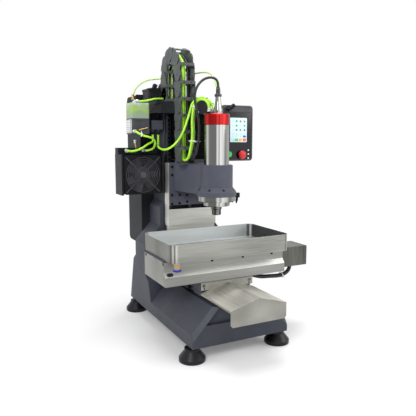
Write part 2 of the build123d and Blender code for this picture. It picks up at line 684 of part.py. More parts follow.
def cheek(layer_in, layer_out, start, end, pivot, bore):
    """One half of a link's side plate: a round end on its pivot and a square middle."""
    middle = (CHAIN_LEFT + CHAIN_RIGHT) / 2
    disc = rod_x(0, pivot, 25, 0, layer_out - layer_in)
    plate = disc + block(0, layer_out - layer_in, -25, 25, min(pivot, start), max(pivot, end))
    plate += block(0, layer_out - layer_in, -CHAIN_DEPTH / 2, CHAIN_DEPTH / 2, start, end)
    if bore:
        plate -= rod_x(0, pivot, 5.2, -1, 9)
    return [Pos(middle + layer_in, 0, 0) * plate, Pos(middle - layer_out, 0, 0) * plate]


def chain_link(lower, upper):
    """One link between two pivots: outer cheeks below, inner cheeks and pins above, four crossbars."""
    length = math.hypot(upper[0] - lower[0], upper[1] - lower[1])
    lean = math.degrees(math.atan2(upper[0] - lower[0], upper[1] - lower[1]))
    middle = (CHAIN_LEFT + CHAIN_RIGHT) / 2
    link = None
    outer = cheek(28.2, 31, 12, 34, 0, True)
    inner = cheek(25, 27.9, 26, length - 12, length, False)
    for solid in outer + inner:
        link = solid if link is None else link + solid
    for side in (-1, 1):
        for height in (-CHAIN_DEPTH / 2, CHAIN_DEPTH / 2 - 4):
            link += block(middle - 31, middle + 31, height, height + 4, 24, 36)
        link += block(middle + 28 * side - 3, middle + 28 * side + 3, -29, 29, 26, 34)
        link += rod_x(0, length, 5, middle + side * 29.3 - 1.5, middle + side * 29.3 + 1.5)
    return Pos(0, lower[0], lower[1]) * Rot(-lean, 0, 0) * link


def chain_anchor(pivot, seat):
    """Foot of a chain strand: a plate on its seat and two lugs that hold the end pins."""
    middle = (CHAIN_LEFT + CHAIN_RIGHT) / 2
    body = block(CHAIN_LEFT, CHAIN_RIGHT, pivot[0] - 29, pivot[0] + 29, seat, seat + 4)
    for side in (-1, 1):
        lug = middle + side * 26.45
        body += rod_x(pivot[0], pivot[1], 24, lug - 1.45, lug + 1.45)
        body += block(lug - 1.45, lug + 1.45, pivot[0] - 24, pivot[0] + 24, seat, pivot[1])
        body += rod_x(pivot[0], pivot[1], 5, middle + side * 29.3 - 1.5, middle + side * 29.3 + 1.5)
    return body


def rear_anchor(pivot):
    """Fixed end of the chain on the grey plate, with a strain bar in front."""
    middle = (CHAIN_LEFT + CHAIN_RIGHT) / 2
    bar = block(middle - 27, middle + 27, pivot[0] - 24, pivot[0] - 21, LID_TOP + 4, LID_TOP + 12)
    return chain_anchor(pivot, LID_TOP) + bar


def chain_span(pivots):
    """The links between consecutive pivots."""
    return [chain_link(lower, upper) for lower, upper in zip(pivots, pivots[1:])]


# Electrical cabinet

def cabinet_outline(inset):
    """Side view of the cabinet as a face, with rounded rear corners."""
    width = CABINET_REAR - CABINET_FRONT - 2 * inset
    height = CABINET_TOP - CABINET_BOTTOM - 2 * inset
    radius = 20 - inset
    front = CABINET_FRONT + inset
    low = CABINET_BOTTOM + inset
    face = Rectangle(width, height)
    face = fillet(face.vertices().group_by(Axis.X)[-1], radius)
    return Plane.YZ * Pos(front + width / 2, low + height / 2) * face


def cabinet_shell(inset):
    half = CABINET_HALF - inset
    return extrude(Pos(-half, 0, 0) * cabinet_outline(inset), amount=2 * half)


def hinge_knuckle(z0, z1, bored, wing):
    """A hinge knuckle on the right edge; wing is +1 for the door and -1 for the body."""
    leaf = block(CABINET_HALF, HINGE_X, min(CABINET_SPLIT, CABINET_SPLIT + wing * 14),
                 max(CABINET_SPLIT, CABINET_SPLIT + wing * 14), z0, z1)
    solid = leaf + rod_z(HINGE_X, CABINET_SPLIT, 4.5, z0, z1)
    return solid - rod_z(HINGE_X, CABINET_SPLIT, 2 + SHAFT_GAP, z0 - 1, z1 + 1) if bored else solid


def cabinet_body():
    """Sheet-metal cabinet without its rear door, with rails to the column and a gland below."""
    body = cabinet_shell(0) - cabinet_shell(2)
    body -= block(-200, 200, CABINET_SPLIT - 0.6, CABINET_REAR + 1, 0, 1200)
    body += block(-CABINET_HALF + 2, CABINET_HALF - 2, 520, CABINET_SPLIT - 0.6,
                  CABINET_BOTTOM, CABINET_BOTTOM + 16)
    for z in (370, 790):
        body += block(-90, 90, COLUMN_REAR, CABINET_FRONT + 1, z, z + 30)
    for z in HINGE_ZS:
        for z0 in (z - 24, z + 8.3):
            body += hinge_knuckle(z0, z0 + 16, True, -1)
    gland = turned(100, 470, [(5, 302), (16, 302), (16, 300), (12, 298), (12, 286), (9, 284), (5, 284)])
    hole = rod_z(100, 470, 16, 299, 303)
    return [body - hole, gland]


def cabinet_door():
    """Pan-shaped rear door with hinge pins and a quarter-turn lock."""
    door = cabinet_shell(0) - cabinet_shell(2)
    door = door & block(-200, 200, CABINET_SPLIT, CABINET_REAR + 1, 0, 1200)
    for z in HINGE_ZS:
        door += hinge_knuckle(z - 7.7, z + 8, False, 1)
        door += rod_z(HINGE_X, CABINET_SPLIT, 2, z - 23, z + 24)
    lock = rod_y(-138, 616, 11, CABINET_REAR - 3, CABINET_REAR)
    lock -= rod_y(-138, 616, 5, CABINET_REAR - 1.5, CABINET_REAR + 1)
    return [door - rod_y(-138, 616, 11, CABINET_REAR - 5, CABINET_REAR + 1), lock]


def cabinet_drives():
    """Mounting plate in the cabinet with three drives, a supply and a control unit."""
    plate = block(-140, 140, CABINET_FRONT + 4, CABINET_FRONT + 7, 330, 900)
    back = CABINET_FRONT + 7
    solids = [plate]
    for i in range(3):
        left = -128 + i * 62
        body = block(left, left + 48, back, back + 75, 700, 860)
        for k in range(6):
            body -= block(left + 40, left + 49, back + 8 + k * 11, back + 14 + k * 11, 699, 861)
        solids.append(body)
    solids.append(block(70, 128, back, back + 60, 640, 860))
    solids.append(block(-128, 0, back, back + 45, 460, 640))
    solids.append(block(30, 128, back, back + 70, 420, 600))
    solids.append(block(-128, 128, back, back + 40, 350, 390))
    return solids


# Cooling unit

def radiator():
    """Radiator with fins, side sheets that shroud the fan, and a header tank with two fittings."""
    core = block(-281, -121, 279, 309, 540, 688)
    for i in range(26):
        x = -277 + i * 6.0
        core -= block(x, x + 2.6, 303, 310, 548, 680)
        core -= block(x, x + 2.6, 278, 285, 548, 680)
    left = block(RADIATOR_LEFT, -281, 232, RADIATOR_REAR, 532, 690)
    right = block(-121, RADIATOR_RIGHT, 232, RADIATOR_REAR, 532, 690)
    top = rounded_z(RADIATOR_LEFT, RADIATOR_RIGHT, 274, RADIATOR_REAR, 688, 715, 5)
    floor = block(RADIATOR_LEFT, RADIATOR_RIGHT, 274, RADIATOR_REAR, 532, 540)
    body = core + left + right + top + floor
    elbows = []
    for x, turn in ((-262, 0), (-201, 1)):
        barrel = rod_y(x, 704, 6.5, 252, 274) + rod_y(x, 704, 8.5, 262, 270)
        if turn:
            barrel += rod_x(252, 704, 6.5, x, x + 14)
        elbows.append(barrel)
    return [body, elbows]


def fan_frame():
    """Square fan housing with a round duct, corner bosses and the four ribs of the motor seat."""
    frame = rounded_y(FAN_X - FAN_HALF, FAN_X + FAN_HALF, FAN_FRONT, FAN_REAR,
                      FAN_Z - FAN_HALF, FAN_Z + FAN_HALF, 9)
    duct = rod_y(FAN_X, FAN_Z, FAN_BORE, FAN_FRONT - 1, FAN_REAR + 1)
    seat = rod_y(FAN_X, FAN_Z, 34, FAN_REAR - 6, FAN_REAR)
    for angle in (45, 135, 225, 315):
        arm = Pos(FAN_X, FAN_REAR - 3, FAN_Z) * Rot(0, angle, 0) * Pos(52, 0, 0) * Box(42, 6, 6)
        seat += arm
    body = frame - duct + seat
    for sx in (-1, 1):
        for sz in (-1, 1):
            body -= rod_y(FAN_X + sx * 67, FAN_Z + sz * 67, 2.5, FAN_FRONT - 1, FAN_REAR + 1)
    waist = rounded_y(FAN_X - 90, FAN_X + 90, FAN_FRONT + 6, FAN_REAR - 6, FAN_Z - 90, FAN_Z + 90, 9)
    waist -= rod_y(FAN_X, FAN_Z, FAN_BORE + 4, FAN_FRONT, FAN_REAR)
    corners = []
    for sx in (-1, 1):
        for sz in (-1, 1):
            corner = block(FAN_X + sx * 69.5 - 20, FAN_X + sx * 69.5 + 20, FAN_FRONT, FAN_REAR,
                           FAN_Z + sz * 69.5 - 20, FAN_Z + sz * 69.5 + 20)
            corners.append(waist & corner)
    for corner in corners:
        body -= corner - rod_y(FAN_X, FAN_Z, 99, 0, 400)
    return body - rod_y(FAN_X, FAN_Z, 3 + SHAFT_GAP, FAN_REAR - 8, FAN_REAR + 1)


def fan_rotor():
    """Fan hub with seven pitched blades and its spindle."""
    hub = rod_y(FAN_X, FAN_Z, 33, FAN_FRONT + 5, FAN_REAR - 8)
    hub = fillet(hub.edges().filter_by(GeomType.CIRCLE).group_by(Axis.Y)[0], 3)
    rotor = hub
    for i in range(7):
        blade = Pos(50, 0, 0) * Rot(38, 0, 0) * Box(38, 2, 30)
        blade = Rot(0, i * 360 / 7, 0) * blade
        rotor += Pos(FAN_X, (FAN_FRONT + FAN_REAR) / 2 - 1.5, FAN_Z) * blade
    tip = rod_y(FAN_X, FAN_Z, 68, FAN_FRONT + 4, FAN_REAR - 7)
    return (rotor & tip) + rod_y(FAN_X, FAN_Z, 3, FAN_REAR - 9, FAN_REAR - 1)


def fan_guard():
    """Wire guard: rings, a centre plate and four struts to the corner screws."""
    front = FAN_FRONT - 4.5
    guard = rod_y(FAN_X, FAN_Z, 13, front, front + 2.4)
    for radius in range(19, 69, 7):
        guard += rod_y(FAN_X, FAN_Z, radius + 1, front, front + 2.4) - rod_y(FAN_X, FAN_Z, radius - 1, 0, 400)
    for angle in (45, 135, 225, 315):
        strut = Pos(FAN_X, front + 3.3, FAN_Z) * Rot(0, angle, 0) * Pos(53, 0, 0) * Box(88, 2.4, 3)
        guard += strut
    return guard


def equipment_brackets():
    """Brackets of radiator and pump on the side of the column, and the hose manifold block."""
    low = block(-276, -108, RADIATOR_REAR, RADIATOR_REAR + 3, 570, 660)
    low += block(-108, -COLUMN_HALF, RADIATOR_REAR, 372, 570, 660)
    high = block(-240, -108, PUMP_REAR, PUMP_REAR + 3, 772, 846)
    high += block(-168, -108, PUMP_REAR, PUMP_REAR + 3, 772, 847)
    high += block(-108, -COLUMN_HALF, PUMP_REAR, 372, 772, 847)
    manifold = block(-157, -110, 248, PUMP_REAR, 786, 822)
    ports = [rod_z(x, 262, 6.5, 776, 786) for x in (-149, -125)]
    return [low, high, manifold + ports[0] + ports[1]]


def pump_body():
    """Pump and motor under the reservoir, with a ribbed grille and an outlet."""
    body = rounded_z(TANK_LEFT, TANK_RIGHT, PUMP_FRONT, PUMP_REAR, 768, 828, 5)
    for i in range(9):
        y = 241 + i * 6.4
        body += block(TANK_LEFT - 2.5, TANK_LEFT + 1, y, y + 3, 774, 822)
    body -= block(TANK_LEFT + 12, TANK_RIGHT - 12, PUMP_FRONT - 1, PUMP_FRONT + 2, 776, 820)
    return body + rod_y(-236, 778, 6.5, 226, PUMP_FRONT + 3)


def reservoir():
    """Translucent coolant tank over the pump, with a filler neck and a return elbow."""
    shell = rounded_z(TANK_LEFT, TANK_RIGHT, PUMP_FRONT, PUMP_REAR, 828, 887, 6)
    neck = rod_z(FILLER[0], FILLER[1], 11, 886, 893)
    tank = shell + neck
    tank -= rounded_z(TANK_LEFT + 3, TANK_RIGHT - 3, PUMP_FRONT + 3, PUMP_REAR - 3, 831, 884, 4)
    tank -= rod_z(FILLER[0], FILLER[1], 9, 883, 894)
    elbow = rod_z(-229, 246, 6, 887, 893) + rod_x(246, 893, 5.5, -229, -219)
    return tank + elbow


def reservoir_cap():
    """Bayonet filler cap with a grip rim."""
    x, y = FILLER
    cap = turned(x, y, [(0, 920), (11, 920), (13, 918), (13, 888), (11.3, 888), (11.3, 893.6), (0, 893.6)])
    for i in range(12):
        angle = math.radians(i * 30)
        cap -= rod_z(x + 13.6 * math.cos(angle), y + 13.6 * math.sin(angle), 1.6, 896, 916)
    return cap


# Operator panel

def hmi_arm():
    """Arm from the side of the column to the fork that holds the panel."""
    arm = block(COLUMN_HALF, COLUMN_HALF + 6, 280, 345, 745, 805)
    arm += block(COLUMN_HALF + 6, 230, 302, 318, 758, 792)
    for z in (752, 790):
        arm += block(202, 230, PIVOT[1] - 14, 318, z, z + 8)
    return arm - rod_z(PIVOT[0], PIVOT[1], 5 + SHAFT_GAP, 751, 799)


def hmi_housing():
    """Panel housing: glass field, screen and label recesses, button seats, rear boss and pivot pin."""
    box = rounded_y(PANEL_LEFT, PANEL_RIGHT, PANEL_FRONT, PANEL_REAR, PANEL_BOTTOM, PANEL_TOP, PANEL_CORNER)
    box = chamfer(box.edges().group_by(Axis.Y)[0], 2)
    box -= rounded_y(146, 286, PANEL_FRONT - 1, PANEL_FRONT + 1, 664, 863, 9)
    box -= rounded_y(180.7, 262.7, PANEL_FRONT, PANEL_FRONT + 2.5, 736.4, 838.8, 1)
    box -= rounded_y(218, 277, PANEL_FRONT - 1, PANEL_FRONT + 1.5, 872, 883, 2)
    for place, stem in ((STOP_BUTTON, STOP_STEM), (START_BUTTON, START_RADIUS), (KNOB, KNOB_STEM)):
        box -= rod_y(*place, stem + GAP, PANEL_FRONT - 1, PANEL_FRONT + 16)
    box += block(206, 226, PANEL_REAR, PIVOT[1], 760.3, 789.7)
    box += rod_z(*PIVOT, 12, 760.3, 789.7)
    return box + rod_z(*PIVOT, 5, 752, 798.3) + rod_z(*PIVOT, 8, 798.3, 803)


def stop_button():
    """Mushroom stop button with its stem."""
    x, z = STOP_BUTTON
    head = Plane.XZ * make_face(Polyline((0, 0), (0, 11), (12, 10), (17.5, 5), (17.5, 0), close=True))
    cap = Pos(x, PANEL_FRONT - 8, z) * Rot(90, 0, 0) * revolve(head, Axis.Z, 360)
    return cap + rod_y(x, z, STOP_STEM, PANEL_FRONT - 8, PANEL_FRONT + 10)


def start_button():
    """Start button with a rounded face, just proud of the glass."""
    x, z = START_BUTTON
    head = rod_y(x, z, START_RADIUS, PANEL_FRONT - 4, PANEL_FRONT + 10)
    return fillet(head.edges().filter_by(GeomType.CIRCLE).group_by(Axis.Y)[0], 1.5)


def clamp_lever():
    """Clamp knob at the panel's top corner: a tilted round bar on the stem of the clamp screw."""
    x, z = KNOB
    bar = Cylinder(8.5, 38)
    bar = fillet(bar.edges().filter_by(GeomType.CIRCLE), 1.5)
    stem = rod_y(x, z, KNOB_STEM, PANEL_FRONT - 10, PANEL_FRONT + 12)
    collar = rod_y(x, z, 11, PANEL_FRONT - 5, PANEL_FRONT - GAP)
    return Pos(x, PANEL_FRONT - 11, z) * Rot(0, 56, 0) * bar + stem + collar


# Hoses and cables: diameter and the points of each route

ROUTES = {
    "hose_pump_radiator": (8, [
        (-236, 226, 778), (-236, 208, 778), (-230, 193, 769), (-214, 186, 761), (-193, 187, 757),
        (-173, 193, 751), (-160, 203, 738), (-157, 218, 722), (-158, 236, 711), (-170, 249, 705),
        (-181, 252, 704), (-187, 252, 704)]),
    "hose_radiator_manifold": (8, [
        (-262, 252, 704), (-262, 232, 704), (-252, 216, 702), (-233, 208, 706), (-212, 208, 714),
        (-192, 214, 726), (-174, 224, 734), (-157, 240, 738), (-149, 257, 748), (-149, 262, 764),
        (-149, 262, 776)]),
    "hose_spindle_feed": (8, [
        (-125, 262, 776), (-125, 262, 752), (-132, 246, 732), (-144, 218, 720), (-150, 182, 713),
        (-150, 144, 708), (-142, 108, 713), (-128, 82, 730), (-112, 70, 756), (-98, 66, 786),
        (-86, 65, 820), (-76, 65, 850), (-70, 63, 876), (-52, 54, 898), (-28, 40, 899),
        (-12, 31, 876), (-12, 31, 852)]),
    "hose_spindle_return": (8, [
        (-25, 12, 852), (-25, 12, 874), (-37, 25, 891), (-53, 43, 891), (-64, 56, 873),
        (-69, 59, 842), (-71, 60, 806), (-69, 60, 768), (-73, 59, 734), (-79, 59, 709),
        (-83, 60, 686), (-87, 77, 670), (-89, 101, 670), (-90, 118, 686), (-90, 118, 704)]),
    "hose_second": (8, [
        (6, 40, 852), (6, 40, 872), (-9, 52, 894), (-35, 66, 896), (-54, 74, 878),
        (-58, 76, 846), (-58, 75, 808), (-56, 74, 770), (-60, 74, 734), (-67, 74, 709),
        (-72, 75, 686), (-76, 92, 670), (-78, 116, 670), (-78, 132, 686), (-78, 132, 704)]),
    "spindle_cable": (9, [
        (6, 0, 934), (6, 0, 950), (-3, 4, 964), (-20, 11, 968), (-38, 19, 963),
        (-54, 26, 950), (-66, 32, 930), (-71, 36, 904), (-67, 40, 876), (-58, 44, 850),
        (-50, 48, 820), (-46, 51, 786), (-46, 54, 750), (-51, 57, 716), (-57, 60, 688),
        (-62, 77, 670), (-65, 101, 669), (-66, 118, 686), (-66, 118, 704)]),
    "air_line": (6, [
        (-205, 330, 905), (-203, 328, 935), (-185, 322, 962), (-150, 317, 984), (-108, 316, 990),
        (-66, 313, 996), (-22, 298, 1003), (12, 258, 1008), (30, 206, 1010), (34, 152, 1006),
        (30, 104, 994), (26, 66, 968), (25, 40, 928), (25, 31, 890), (25, 31, 852)]),
    "hose_tank_return": (8, [
        (-219, 246, 893), (-197, 246, 893), (-174, 248, 897), (-151, 252, 903), (-128, 257, 907),
        (-104, 257, 907)]),
    "motor_conduit": (17, [
        (106, 0, 230), (134, 0, 230), (166, 2, 218), (202, 2, 207), (240, -2, 206),
        (276, 0, 202), (308, 4, 202), (332, 2, 214), (340, 0, 234), (340, 0, 254)]),
}


def bend_radii(points):
    """The largest arc that each corner of a route can take."""
    radii = []
    for before, here, after in zip(points, points[1:], points[2:]):
        first = Vector(*here) - Vector(*before)
        second = Vector(*after) - Vector(*here)
        half_turn = math.radians(first.get_angle(second)) / 2
        radii.append(0.45 * min(first.length, second.length) / math.tan(half_turn))
    return radii


def cord_tube(name):
    """A round tube along a route of straight runs and arcs."""
    diameter, points = ROUTES[name]
    radii = bend_radii(points)
    path = FilletPolyline(*points, radius=radii)
    section = Plane(origin=path @ 0, z_dir=path % 0) * Circle(diameter / 2)
    tube = sweep(section, path=path)
    expected = math.pi * diameter ** 2 / 4 * path.length
    print(name, "length", round(path.length), "volume ratio", round(tube.volume / expected, 4))
    print("   radii", [round(radius) for radius in radii])
    return tube


save("frame_casting", frame_casting())
save("levelling_feet", [levelling_foot(x, y) for x in (-FOOT_X, FOOT_X) for y in FOOT_YS])
save("linear_rails", linear_rails())
save("screw_bearings", screw_bearings())
save("axis_motors", axis_motors())
save("z_belt", z_belt())
save("z_belt_housing", z_belt_housing())
save("z_ball_screw", z_ball_screw())
save("z_motor_pulley", z_motor_pulley())
save("y_ball_screw", y_ball_screw())
save("saddle_casting", saddle_casting())
save("y_way_cover", y_way_cover())
save("table_plate", table_plate())
save("slot_table", slot_table())
save("coolant_tray", coolant_tray())
save("drain_fitting", drain_fitting())
save("table_skirt", table_skirt())
save("x_ball_screw", x_ball_screw())
save("x_motor", x_motor())
save("x_motor_cover", x_motor_cover())
save("z_slide_plate", z_slide_plate())
save("spindle_bracket", spindle_bracket())
save("spindle_body", spindle_body())
save("spindle_cap", spindle_cap())
save("spindle_connector", spindle_connector())
save("head_fittings", head_fittings())
save("spindle_nose", spindle_nose())
save("spindle_shaft", spindle_shaft())
save("collet_nut", collet_nut())
save("z_cover_moving", z_cover_moving())
save("z_cover_fixed", z_cover_fixed())
save("z_bellows", z_bellows())

PIVOTS = chain_pivots()
BEND_START = FRONT_LINKS
BEND_END = FRONT_LINKS + 4
save("drag_chain_front", chain_anchor(PIVOTS[0], COLLAR_TOP), chain_span(PIVOTS[:BEND_START + 1]))
save("drag_chain_loop", chain_span(PIVOTS[BEND_START:BEND_END + 1]))
save("drag_chain_rear", rear_anchor(PIVOTS[-1]), chain_span(PIVOTS[BEND_END:]))

save("cabinet_body", cabinet_body())
save("cabinet_door", cabinet_door())
save("cabinet_drives", cabinet_drives())
save("radiator", radiator())
save("fan_frame", fan_frame())
save("fan_rotor", fan_rotor())
save("fan_guard", fan_guard())
save("equipment_brackets", equipment_brackets())
save("pump_body", pump_body())
save("reservoir", reservoir())
save("reservoir_cap", reservoir_cap())
save("hmi_arm", hmi_arm())
save("hmi_housing", hmi_housing())
save("stop_button", stop_button())
save("start_button", start_button())
save("clamp_lever", clamp_lever())

for route in ROUTES:
    save(route, cord_tube(route))
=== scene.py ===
import math

import bmesh
import bpy
import numpy as np
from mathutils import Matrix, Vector


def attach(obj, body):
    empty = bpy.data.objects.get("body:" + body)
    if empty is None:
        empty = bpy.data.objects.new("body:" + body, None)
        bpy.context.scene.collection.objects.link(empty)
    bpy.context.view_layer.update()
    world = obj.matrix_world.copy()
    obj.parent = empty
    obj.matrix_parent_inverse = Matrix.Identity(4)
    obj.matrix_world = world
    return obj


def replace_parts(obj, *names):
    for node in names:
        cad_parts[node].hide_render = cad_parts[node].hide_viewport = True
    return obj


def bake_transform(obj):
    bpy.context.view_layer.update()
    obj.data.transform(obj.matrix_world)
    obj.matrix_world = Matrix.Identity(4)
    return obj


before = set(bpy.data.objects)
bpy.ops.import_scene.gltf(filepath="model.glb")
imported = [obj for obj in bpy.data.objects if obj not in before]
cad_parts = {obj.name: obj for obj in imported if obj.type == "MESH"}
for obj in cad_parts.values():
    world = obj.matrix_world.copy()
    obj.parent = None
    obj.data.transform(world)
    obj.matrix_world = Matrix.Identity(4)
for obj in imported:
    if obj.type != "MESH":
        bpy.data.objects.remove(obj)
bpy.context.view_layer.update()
scene = bpy.context.scene

# The machine's own axes: x = 0 on the centre plane, y = 0 on the spindle axis, z = 0 on the bench
ORIGIN = np.array((0.042, 0.127, 0.0))
MM = 0.001
FRONT, LEFT, RIGHT, UP, DOWN = (0, -1, 0), (-1, 0, 0), (1, 0, 0), (0, 0, 1), (0, 0, -1)
ALONG_X, ALONG_Y, ALONG_Z = range(3)
WHITE_LIGHT = (1.0, 1.0, 1.0, 1.0)


def at(x, y, z):
    """A point of the machine's own axes, in millimetres, as a point of the frame in metres."""
    return np.array((x, y, z)) * MM - ORIGIN


def add(name, data):
    """A new object of the scene, at the origin."""
    made = bpy.data.objects.new(name, data)
    scene.collection.objects.link(made)
    return made


# Shader nodes

def feed(owner, socket, value):
    """Sets a shader input to a plain value, or links another node's output to it."""
    if isinstance(value, bpy.types.NodeSocket):
        owner.node_tree.links.new(value, socket)
    else:
        socket.default_value = value


def node(owner, kind, **inputs):
    """A shader node of a material or of the world, with its named inputs fed."""
    made = owner.node_tree.nodes.new("ShaderNode" + kind)
    for key, value in inputs.items():
        feed(owner, made.inputs[key.replace("_", " ")], value)
    return made


def maths(owner, operation, *values, kind="Math", output="Value"):
    """The result of one calculation on plain values or other nodes' outputs."""
    made = node(owner, kind)
    made.operation = operation
    for socket, value in zip(made.inputs, values):
        feed(owner, socket, value)
    return made.outputs[output]


def seen_directly(owner):
    """1 for rays from the camera, from a mirror-like surface or through glass, and 0 for lighting rays."""
    rays = node(owner, "LightPath")
    largest = rays.outputs["Is Camera Ray"]
    for kind in ("Is Glossy Ray", "Is Transmission Ray"):
        largest = maths(owner, "MAXIMUM", largest, rays.outputs[kind])
    return largest


def show_either(owner, output, share, first, second):
    """The owner's surface passes from its first shader to its second by a share."""
    mix = node(owner, "MixShader")
    for socket, value in zip(mix.inputs, (share, first.outputs[0], second.outputs[0])):
        feed(owner, socket, value)
    feed(owner, owner.node_tree.nodes[output].inputs["Surface"], mix.outputs[0])


# Camera, floor and light

LENS = 42.6
CAMERA_PLACE = at(-846.9, -1600.4, 738.0)
CAMERA_DOWN, CAMERA_RIGHT = 7.65, 26.9
FLOOR_REACH = 12.0
LIT_POINT = at(0, 100, 500)

# Name, place in metres, width in metres, power in watts, and whether shiny surfaces mirror the lamp
LAMPS = (
    ("lamp_front_left", (-2.4, -2.4, 2.4), 1.2, 70, True),
    ("lamp_front_right", (2.4, -2.0, 1.8), 1.8, 40, True),
    ("lamp_above", (0.0, 0.2, 3.4), 1.6, 60, True),
    ("lamp_back_right", (2.4, 2.2, 2.2), 1.2, 35, False),
)


def make_camera():
    """The photograph's view: in front on the left, a little above the table."""
    data = bpy.data.cameras.new("photo_camera")
    data.lens = LENS
    data.sensor_width = 36.0
    data.clip_start, data.clip_end = 0.05, 50.0
    camera = add("photo_camera", data)
    camera.location = CAMERA_PLACE
    camera.rotation_euler = (math.radians(90 - CAMERA_DOWN), 0.0, math.radians(-CAMERA_RIGHT))
    scene.camera = camera


def soft_light(name, place, width, power, mirrored):
    """A square studio lamp aimed at the middle of the machine."""
    data = bpy.data.lights.new(name, "AREA")
    data.shape = "SQUARE"
    data.size = width
    data.energy = power
    lamp = add(name, data)
    lamp.location = place
    lamp.rotation_euler = Vector(np.subtract(LIT_POINT, place)).to_track_quat("-Z", "Y").to_euler()
    lamp.visible_glossy = mirrored


def floor_finish():
    """Pale matt floor that shades to plain white away from the machine, for camera and mirror rays."""
    pale = bpy.data.materials.new("pale_floor")
    pale.use_nodes = True
    pale.node_tree.nodes.remove(main_shader(pale))
    matt = node(pale, "BsdfDiffuse", Color=(0.88, 0.88, 0.88, 1.0))
    place = node(pale, "TexCoord").outputs["Object"]
    distance = maths(pale, "LENGTH", place, kind="VectorMath")
    fade = node(pale, "MapRange", Value=distance, From_Min=0.25, From_Max=1.0, To_Min=0.16, To_Max=1.0)
    fade.interpolation_type = "SMOOTHSTEP"
    share = maths(pale, "MULTIPLY", seen_directly(pale), fade.outputs["Result"])
    show_either(pale, "Material Output", share, matt, node(pale, "Emission"))
    return pale


def make_floor():
    """A plain square floor that keeps the machine's shadow."""
    corners = [(x * FLOOR_REACH, y * FLOOR_REACH, 0) for x, y in ((-1, -1), (1, -1), (1, 1), (-1, 1))]
    mesh = bpy.data.meshes.new("floor")
    mesh.from_pydata(corners, [], [(0, 1, 2, 3)])
    mesh.materials.append(floor_finish())
    floor = add("floor", mesh)


def make_world():
    """White surroundings that light the machine evenly, at half the strength that the camera sees."""
    world = bpy.data.worlds.new("white_studio")
    world.use_nodes = True
    lit = world.node_tree.nodes["Background"]
    lit.inputs["Strength"].default_value = 0.5
    lit.inputs["Color"].default_value = WHITE_LIGHT
    shown = node(world, "Background", Color=WHITE_LIGHT)
    show_either(world, "World Output", seen_directly(world), lit, shown)
    scene.world = world


# Surfaces

def quads(rows, columns, join_rows=False, join_columns=True):
    """The faces of a grid of points; a joined direction runs from its last line back to its first."""
    i, j = np.meshgrid(np.arange(rows if join_rows else rows - 1),
                       np.arange(columns if join_columns else columns - 1), indexing="ij")
    below, beside = (i + 1) % rows, (j + 1) % columns
    corners = (i * columns + j, i * columns + beside, below * columns + beside, below * columns + j)
    return np.stack(corners, axis=-1).reshape(-1, 4)


def weld(mesh):
    """Merges the mesh's doubled points."""
    welded = bmesh.new()
    welded.from_mesh(mesh)
    bmesh.ops.remove_doubles(welded, verts=welded.verts, dist=1e-6)
    welded.to_mesh(mesh)
    welded.free()


def piece(name, points, faces, finish, body, crease):
    """A welded mesh from points and faces, smooth apart from edges past the crease angle in degrees."""
    mesh = bpy.data.meshes.new(name)
    mesh.from_pydata(np.reshape(points, (-1, 3)).tolist(), [], faces.tolist())
    weld(mesh)
    mesh.polygons.foreach_set("use_smooth", np.ones(len(mesh.polygons), bool))
    mesh.set_sharp_from_angle(angle=math.radians(crease))
    mesh.materials.append(finish)
    made = add(name, mesh)
    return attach(made, body) if body else made


def copies(grid, places):
    """The same closed grid of points at each place, as one list of points and one of faces."""
    places = np.atleast_2d(places)
    rows, columns = grid.shape[:2]
    points = (places[:, None, None, :] + grid[None]).reshape(-1, 3)
    starts = np.arange(len(places)) * rows * columns
    return points, (quads(rows, columns)[None] + starts[:, None, None]).reshape(-1, 4)


def round_angles(sides):
    """Evenly spaced angles of one full turn, in radians."""
    return np.arange(sides) * 2 * np.pi / sides


def directions(axis):
    """Two directions square to an axis, and the axis itself, as a right-handed set."""
    along = np.array(axis, float) / np.linalg.norm(axis)
    helper = np.array(UP if abs(along[2]) < 0.9 else RIGHT, float)
    across = np.cross(helper, along)
    across /= np.linalg.norm(across)
    return across, np.cross(along, across), along


def turned(radii, heights, axis, sides):
    """A profile carried round an axis: height along it, plus radius times (cos a, sin a) square to it."""
    across, aside, along = directions(axis)
    angle = round_angles(sides)
    ring = np.cos(angle)[:, None] * across + np.sin(angle)[:, None] * aside
    radii = np.broadcast_to(np.reshape(radii, (len(heights), -1)), (len(heights), sides))
    return np.reshape(heights, (-1, 1, 1)) * along + radii[..., None] * ring


def hexagon(flats, sides):
    """A hexagon's radius at each angle: half its width over flats, over the cosine to the nearest flat."""
    return flats / 2 / np.cos(np.mod(round_angles(sides), np.pi / 3) - np.pi / 6)


def cap_screws(name, places, axis, finish, body, radius, height):
    """Socket-head screws, a profile turned round each: a rounded rim and a flat-bottomed hexagonal hole."""
    sides = 24
    round_rim, full_height, hole_floor = 0.82, 1.0, 0.35
    hole = hexagon(radius * 0.95, sides)
    full = np.full(sides, radius)
    radii = np.stack((full, full, 0.9 * full, hole, hole, 0 * full))
    heights = np.array((0, round_rim, full_height, full_height, hole_floor, hole_floor)) * height
    return piece(name, *copies(turned(radii, heights, axis, sides), places), finish, body, crease=30)


def discs(name, places, axis, finish, body, radius, proud=0.0002):
    """Thin discs a little proud of a face, a profile turned round each: dark discs painted as the shade in
    holes, flat heads and lamps.
    """
    radii = np.array((1.0, 1.0, 0.9, 0.0)) * radius
    heights = np.array((-1.0, 0.4, 1.0, 1.0)) * proud
    return piece(name, *copies(turned(radii, heights, axis, sides=20), places), finish, body, crease=30)


def row(start, end, count):
    """Evenly spaced places from one point to another."""
    return np.linspace(at(*start), at(*end), count)


